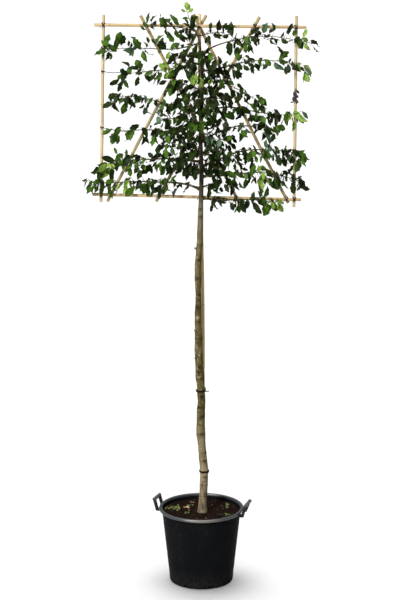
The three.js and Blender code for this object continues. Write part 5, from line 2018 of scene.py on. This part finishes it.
@dataclass
class Handle:
    """A clip-on handle: two arms hooked under the rim, joined by a flanged grip."""

    name: str
    degrees: float
    spread: float = 105.0
    foot_radius: float = 267.0
    foot_height: float = 442.0
    arm_length: float = 69.0
    arm_width: float = 19.5
    arm_depth: float = 16.5
    lean: float = radians(15)
    grip_radius: float = 11.3
    flange_radius: float = 11.6
    overhang: float = 5.0
    lug_height: float = 13.0
    back_shift: Pair = (0.0, 0.0)
    tooth: float = 5.0
    teeth: int = 4
    ribs: int = 9
    grip_steps: int = 28

    def build(self) -> Object:
        """Builds the handle."""
        bm = bmesh.new()
        rise = self.arm_length * cos(self.lean)
        out = self.arm_length * sin(self.lean)
        grip = Vector((self.foot_radius + out, 0, self.foot_height + rise))
        for end in (-1, 1):
            self._add_arm(bm, end, grip, out, rise)
            self._add_lug(bm, end)
        self._add_grip(bm, grip)
        self._bend(bm)
        turn = Matrix.Rotation(radians(self.degrees), 4, "Z") @ Matrix.Scale(MM, 4)
        ops.transform(bm, matrix=turn, verts=bm.verts[:])
        ops.recalc_face_normals(bm, faces=bm.faces[:])
        return make_object(f"{self.name}_moulding", mesh_from(bm, 38), HANDLE_PLASTIC, [self.name])

    def _bend(self, bm: BMesh) -> None:
        """Moves the top of the arm that is farther back out and up, as use has bent it."""
        back = 1 if cos(radians(self.degrees)) > 0 else -1
        for vertex in bm.verts:
            share = clamp((vertex.co.z - self.foot_height) / self.arm_length)
            share *= clamp(0.5 + back * vertex.co.y / self.spread)
            vertex.co += Vector((self.back_shift[0], 0, self.back_shift[1])) * share

    @staticmethod
    def _block(bm: BMesh, size: Vector, matrix: Matrix, bevel: float) -> list[BMFace]:
        """Adds a block with rounded edges.

        Args:
            bm: The handle's shape.
            size: Its size along each axis.
            matrix: Where it goes.
            bevel: Width of its rounding.

        Returns:
            Its faces.
        """
        made = ops.create_cube(bm, size=1.0, matrix=matrix @ Matrix.Diagonal((*size, 1)))
        edges = list({edge for vertex in made["verts"] for edge in vertex.link_edges})
        rounded = ops.bevel(
            bm, geom=edges, offset=bevel, segments=3, profile=0.5, affect="EDGES", material=-1,
            clamp_overlap=True,
        )
        verts = {vertex for face in rounded["faces"] for vertex in face.verts}
        return list({face for vertex in verts for face in vertex.link_faces})

    def _add_arm(self, bm: BMesh, end: int, grip: Vector, out: float, rise: float) -> None:
        """Adds an arm with a channel down its outer face."""
        y = end * self.spread / 2
        middle = Vector((self.foot_radius + out / 2, y, grip.z - rise / 2))
        matrix = Matrix.Translation(middle) @ Matrix.Rotation(self.lean, 4, "Y")
        size = Vector((self.arm_depth, self.arm_width, self.arm_length + 7))
        faces = self._block(bm, size, matrix, 1.8)
        outward = matrix.to_3x3() @ Vector((1, 0, 0))
        panel = max(faces, key=lambda face: face.normal.dot(outward) * face.calc_area())
        ops.inset_region(bm, faces=[panel], thickness=1.6)
        ops.inset_region(bm, faces=[panel], thickness=0.8, depth=-1.6)

    def _add_lug(self, bm: BMesh, end: int) -> None:
        """Adds the lug that hooks under the rim, with its teeth."""
        y = end * self.spread / 2
        top = RIM_BASE - 0.3
        start = NECK_RADIUS + 2.0
        length = self.foot_radius - start
        size = Vector((length, self.arm_width + 2 * self.tooth, self.lug_height))
        centre = Vector((start + length / 2, y, top - self.lug_height / 2))
        self._block(bm, size, Matrix.Translation(centre), 1.0)
        for k in range(self.teeth):
            width = self.arm_width + (4 - 0.9 * k) * self.tooth
            spot = Vector((self.foot_radius - 3.4 - 4.6 * k, y, top - self.lug_height / 2))
            size = Vector((2.6, width, self.lug_height * 0.7))
            self._block(bm, size, Matrix.Translation(spot), 0.7)

    def _add_grip(self, bm: BMesh, grip: Vector) -> None:
        """Adds the grip: a bar turned from a section with flanges and shallow ribs."""
        half = self.spread / 2 + self.overhang + 2
        section = [(0.0, half), (self.flange_radius - 1.4, half), (self.flange_radius, half - 1.2)]
        section += [(self.flange_radius, half - 3.4), (self.flange_radius - 1.2, half - 4.6)]
        section += [(self.grip_radius - 0.8, half - 5.4), (self.grip_radius - 0.8, half - 15)]
        for k in range(self.ribs):
            at = lerp(half - 20, -(half - 20), k / (self.ribs - 1))
            for offset, depth in ((4.2, 0.9), (2.4, 0.0), (-2.4, 0.0), (-4.2, 0.9)):
                section.append((self.grip_radius - depth, at + offset))
        section += [(r, -y) for r, y in reversed(section[:7])]
        section = [(grip.x, y, grip.z + r) for r, y in section]
        turn_section(bm, section, False, grip, (0, 1, 0), self.grip_steps)
        ops.remove_doubles(bm, verts=bm.verts[:], dist=1e-3)


@dataclass
class SoilBed:
    """The compost: a lumpy surface with crumbs, chips, dry leaves and seedlings on it."""

    steps: int = 150
    rows: int = 40
    lump: float = 3.4
    dish: float = 15.0
    back_share: float = 0.15
    crumbs: int = 1300
    chips: int = 80
    trunk_gap: float = 34.0
    cane_gap: float = 13.0

    def surface(self, x: float, y: float) -> float:
        """Height of the compost at a place, all in millimetres."""
        reach = hypot(x, y)
        edge = self.edge()
        dish = self.dish * lerp(1.0, self.back_share, clamp(0.5 + 0.5 * y / edge))
        level = lerp(SOIL_LEVEL, SOIL_LEVEL + dish, clamp((reach - 70) / (edge - 70)))
        spot = Vector((x / 34, y / 34, 0.3))
        lumps = noise(spot) + 0.55 * noise(spot * 2.7) + 0.4 * noise(spot * 6.1)
        calm = clamp((edge - reach) / 12)
        return level - 1.0 + self.lump * lumps * lerp(0.35, 1.0, calm)

    @staticmethod
    def edge() -> float:
        """Radius at which the compost meets the wall."""
        return Container.wall_radius(SOIL_LEVEL) - POT_WALL - 1.5

    def build(self) -> list[Object]:
        """Builds the bed and what lies on it."""
        return [self._bed(), self._crumbs(), self._chips(), self._dry_leaves(), self._seedlings()]

    def _bed(self) -> Object:
        """Builds the closed body of compost with its relief on top."""
        bm = bmesh.new()
        edge = self.edge()
        section = [(edge * k / self.rows, SOIL_LEVEL) for k in range(self.rows + 1)]
        section += [(FOOT_RADIUS + 18.0, 200.0), (FOOT_RADIUS - 6.0, POT_FLOOR + 1), (0.0, POT_FLOOR + 1)]
        turn_section(bm, [(r * MM, 0, z * MM) for r, z in section], False, (0, 0, 0), (0, 0, 1), self.steps)
        close_up(bm)
        for vertex in bm.verts:
            if vertex.co.z > (SOIL_LEVEL - 1) * MM:
                vertex.co.z = self.surface(vertex.co.x / MM, vertex.co.y / MM) * MM
        ops.recalc_face_normals(bm, faces=bm.faces[:])
        return make_object("compost_bed", mesh_from(bm, 60), COMPOST, ["soil"])

    def _scatter(self, draw: Random, reach: float) -> Vector:
        """Random place on the compost, clear of the trunk, in millimetres."""
        while True:
            radius, turn = reach * sqrt(draw.random()), draw.uniform(0, TAU)
            x, y = radius * cos(turn), radius * sin(turn)
            if hypot(x - 6, y) > self.trunk_gap and hypot(x - 17, y - CENTRE_DEPTH) > self.cane_gap:
                return Vector((x, y, self.surface(x, y)))

    def _crumbs(self) -> Object:
        """Scatters crumbs of compost."""
        draw = Random("crumbs")
        joined = JoinedMesh("scar")
        parts = []
        for k in range(4):
            bm = bmesh.new()
            ops.create_icosphere(bm, subdivisions=1, radius=1.0)
            for vertex in bm.verts:
                vertex.co *= 1 + 0.35 * noise(vertex.co * 1.3 + Vector((k * 5, 0, 0)))
            parts.append(SmallPart.read(bm, lambda face: 0.0))
        for _ in range(self.crumbs):
            spot = self._scatter(draw, self.edge() - 5)
            size = draw.choice((1.3, 1.8, 2.4, 3.2, 4.6)) * draw.uniform(0.7, 1.2)
            shape = Matrix.Diagonal((size, size * draw.uniform(0.6, 1), size * 0.6, 1))
            turn = Matrix.Rotation(draw.uniform(0, TAU), 4, "Z")
            matrix = Matrix.Scale(MM, 4) @ Matrix.Translation(spot) @ turn @ shape
            joined.add_copy(draw.choice(parts), matrix)
        return make_object("compost_crumbs", joined.mesh(30), COMPOST, [])

    def _chips(self) -> Object:
        """Scatters slivers of bark and wood."""
        draw = Random("chips")
        joined = JoinedMesh("scar")
        for _ in range(self.chips):
            spot = self._scatter(draw, self.edge() - 16) * MM
            turn, length = draw.uniform(0, TAU), draw.uniform(6, 24) * MM
            way = spoke(turn, draw.uniform(-0.15, 0.35))
            side = Vector((-way.y, way.x, 0)) * draw.uniform(-0.2, 0.2)
            path = [spot + Vector((0, 0, 0.0012)) + (way * s + side * s * s) * length for s in (0, 0.5, 1)]
            girth = draw.uniform(0.7, 2.0) * MM
            joined.add_tube(path, [girth * 0.5, girth, girth * 0.35], 5)
        return make_object("wood_chips", joined.mesh(30), CHIP_WOOD, [])

    def _dry_leaves(self) -> Object:
        """Lays dry pale leaves and husks where the left of the bed has them."""
        draw = Random("husks")
        joined = JoinedMesh()
        parts = [LeafShape(0.5, 0.5, 0.9, 0.5, 0.8, 0.06, phase).part() for phase in (0.2, 1.9)]
        places = ((-98, 85, 34), (-112, 66, 26), (-88, 108, 20), (-60, 152, 22), (-44, 158, 18))
        places += ((-79, 30, 14), (30, -130, 10), (120, -60, 9), (-150, 20, 12), (70, 120, 10))
        for x, y, size in places:
            spot = Vector((x, y, self.surface(x, y) + 2.5))
            turn = Matrix.Rotation(draw.uniform(0, TAU), 4, "Z") @ Matrix.Rotation(0.25, 4, "X")
            matrix = Matrix.Scale(MM, 4) @ Matrix.Translation(spot) @ turn @ Matrix.Scale(size, 4)
            joined.add_copy(draw.choice(parts), matrix)
        return make_object("dry_husks", joined.mesh(), DRY_LEAF, [])

    def _seedlings(self) -> Object:
        """Grows the small seedlings on the left and the right of the bed."""
        draw = Random("seedlings")
        joined = JoinedMesh()
        parts = [shape.part() for shape in LEAF_SHAPES[:3]]
        patches = (
            ((-228, -200), (10, 70), 7), ((-190, -128), (0, 100), 22), ((-95, -52), (80, 130), 4),
            ((-98, -72), (-50, -10), 3), ((138, 178), (-105, -55), 6), ((138, 190), (40, 140), 7),
        )
        for (x_low, x_high), (y_low, y_high), count in patches:
            for _ in range(count):
                x, y = draw.uniform(x_low, x_high), draw.uniform(y_low, y_high)
                if hypot(x, y) > self.edge() - 9:
                    x, y = x * 0.86, y * 0.86
                spot, tall = Vector((x, y, self.surface(x, y))), draw.uniform(4, 12)
                crest = spot + Vector((draw.uniform(-3, 3), draw.uniform(-3, 3), tall))
                joined.add_tube([spot * MM, crest * MM], [0.0008, 0.0005], 5)
                for k in range(draw.randint(3, 6)):
                    along = spoke(k * GOLDEN_ANGLE, draw.uniform(0.1, 0.7)).normalized()
                    size = draw.uniform(5, 10.5) * MM
                    foot = spot.lerp(crest, 0.4 + 0.6 * draw.random()) * MM
                    joined.add_copy(draw.choice(parts), leaf_at(foot, along, UP, size))
        return make_object("seedlings", joined.mesh(), WEED_GREEN, [])


@dataclass
class Studio:
    """White floor, soft light and the camera at the photograph's place."""

    floor_half: float = 400.0
    zenith: float = 0.66
    horizon: float = 0.3
    glow: float = 5.9
    glow_way: Triple = (-0.08, 0.18, 0.98)
    glow_angle: float = radians(28)
    camera_place: Triple = (-0.0084, -13.072, 5.104)
    camera_pitch: float = 0.249
    lens: float = 134.64
    sensor: float = 36.0
    light_place: Triple = (-5.2, -8.2, 7.8)
    light_aim: Triple = (0, 0, 1.8)
    light_size: float = 2.4
    light_watts: float = 2200

    def build(self) -> None:
        """Builds the stage, the lights and the camera."""
        self._light(self._floor())
        self._sky()
        self._camera()
        bpy.context.scene.view_settings.view_transform = "Standard"

    def _floor(self) -> Object:
        """Lays the floor."""
        bm = bmesh.new()
        ops.create_grid(bm, x_segments=1, y_segments=1, size=self.floor_half)
        ops.translate(bm, verts=bm.verts[:], vec=(0, 0, -0.0004))
        mesh = bpy.data.meshes.new("floor")
        bm.to_mesh(mesh)
        bm.free()
        mesh.materials.append(finish_graph("floor_white").finish((0.95, 0.95, 0.95, 1), 1.0, 0.0))
        floor = bpy.data.objects.new("floor", mesh)
        bpy.context.scene.collection.objects.link(floor)
        return floor

    def _sky(self) -> None:
        """Surrounds the scene with white light, strongest in a wide glow high up behind the tree."""
        graph = NodeGraph(bpy.data.worlds.new("sky"))
        rise = graph.remap(graph.axis("Z", "Generated"), 0.0, 1.0, self.horizon, self.zenith)
        way = graph.add("TexCoord", {}).outputs["Generated"]
        toward = graph.add("VectorMath", {0: way, 1: self.glow_way}, operation="DOT_PRODUCT")
        glow = graph.remap(toward.outputs["Value"], cos(self.glow_angle), 1.0, 0.0, self.glow)
        background = graph.tree.nodes["Background"]
        background.inputs["Color"].default_value = (1, 1, 1, 1)
        graph.feed(background.inputs["Strength"], graph.plus(rise, glow))
        bpy.context.scene.world = graph.owner

    def _light(self, floor: Object) -> None:
        """Hangs one soft light that is kept off the floor, as with a studio flag.

        Args:
            floor: The floor, which only the sky lights.
        """
        lamp = bpy.data.lights.new("key_light", "AREA")
        lamp.size = self.light_size
        lamp.energy = self.light_watts
        light = bpy.data.objects.new("key_light", lamp)
        light.location = self.light_place
        way = Vector(self.light_aim) - light.location
        light.rotation_euler = way.to_track_quat("-Z", "Y").to_euler()
        bpy.context.scene.collection.objects.link(light)
        flagged = bpy.data.collections.new("key_light_flagged")
        flagged.objects.link(floor)
        flagged.collection_objects[0].light_linking.link_state = "EXCLUDE"
        light.light_linking.receiver_collection = flagged

    def _camera(self) -> None:
        """Sets up the camera."""
        data = bpy.data.cameras.new("camera")
        data.lens = self.lens
        data.sensor_width = self.sensor
        data.clip_end = 1000
        camera = bpy.data.objects.new("camera", data)
        camera.location = self.camera_place
        camera.rotation_euler = (pi / 2 - self.camera_pitch, 0, 0)
        bpy.context.scene.collection.objects.link(camera)
        bpy.context.scene.camera = camera


def limbs_in_the_way() -> Clearance:
    """Gathers the limbs and canes that leaves keep clear of.

    Returns:
        The space they take.
    """
    clearance = Clearance()
    heights = [row[0] for row in TRUNK_STATIONS]
    clearance.add_limb([Trunk.centre(z) for z in heights], [Trunk.radius(z) for z in heights])
    for cane in CANES:
        path = [cane.point(i / 10) for i in range(11)]
        clearance.add_limb(path, [cane.radius * MM] * len(path))
    for shoot in SHOOTS:
        start = shoot.start()
        stops = [lerp(start, shoot.reach, i / 8) for i in range(9)]
        clearance.add_limb([shoot.point(d) for d in stops], [shoot.radius(d) for d in stops], 0.001)
    clearance.settle()
    return clearance


def main() -> None:
    """Builds the tree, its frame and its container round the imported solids."""
    logging.basicConfig(level=logging.INFO, format="%(name)s: %(message)s")
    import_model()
    Container().build()
    Handle("handle_left", 164.5, back_shift=(0, -9)).build()
    Handle("handle_right", -11.5, back_shift=(8, -3)).build()
    SoilBed().build()
    Trunk().build()
    Boughs().build()
    CaneFrame().build()
    Ties().build()
    Crown(limbs_in_the_way()).build()
    WitheredBundle().build()
    Studio().build()


if __name__ == "__main__":
    main()
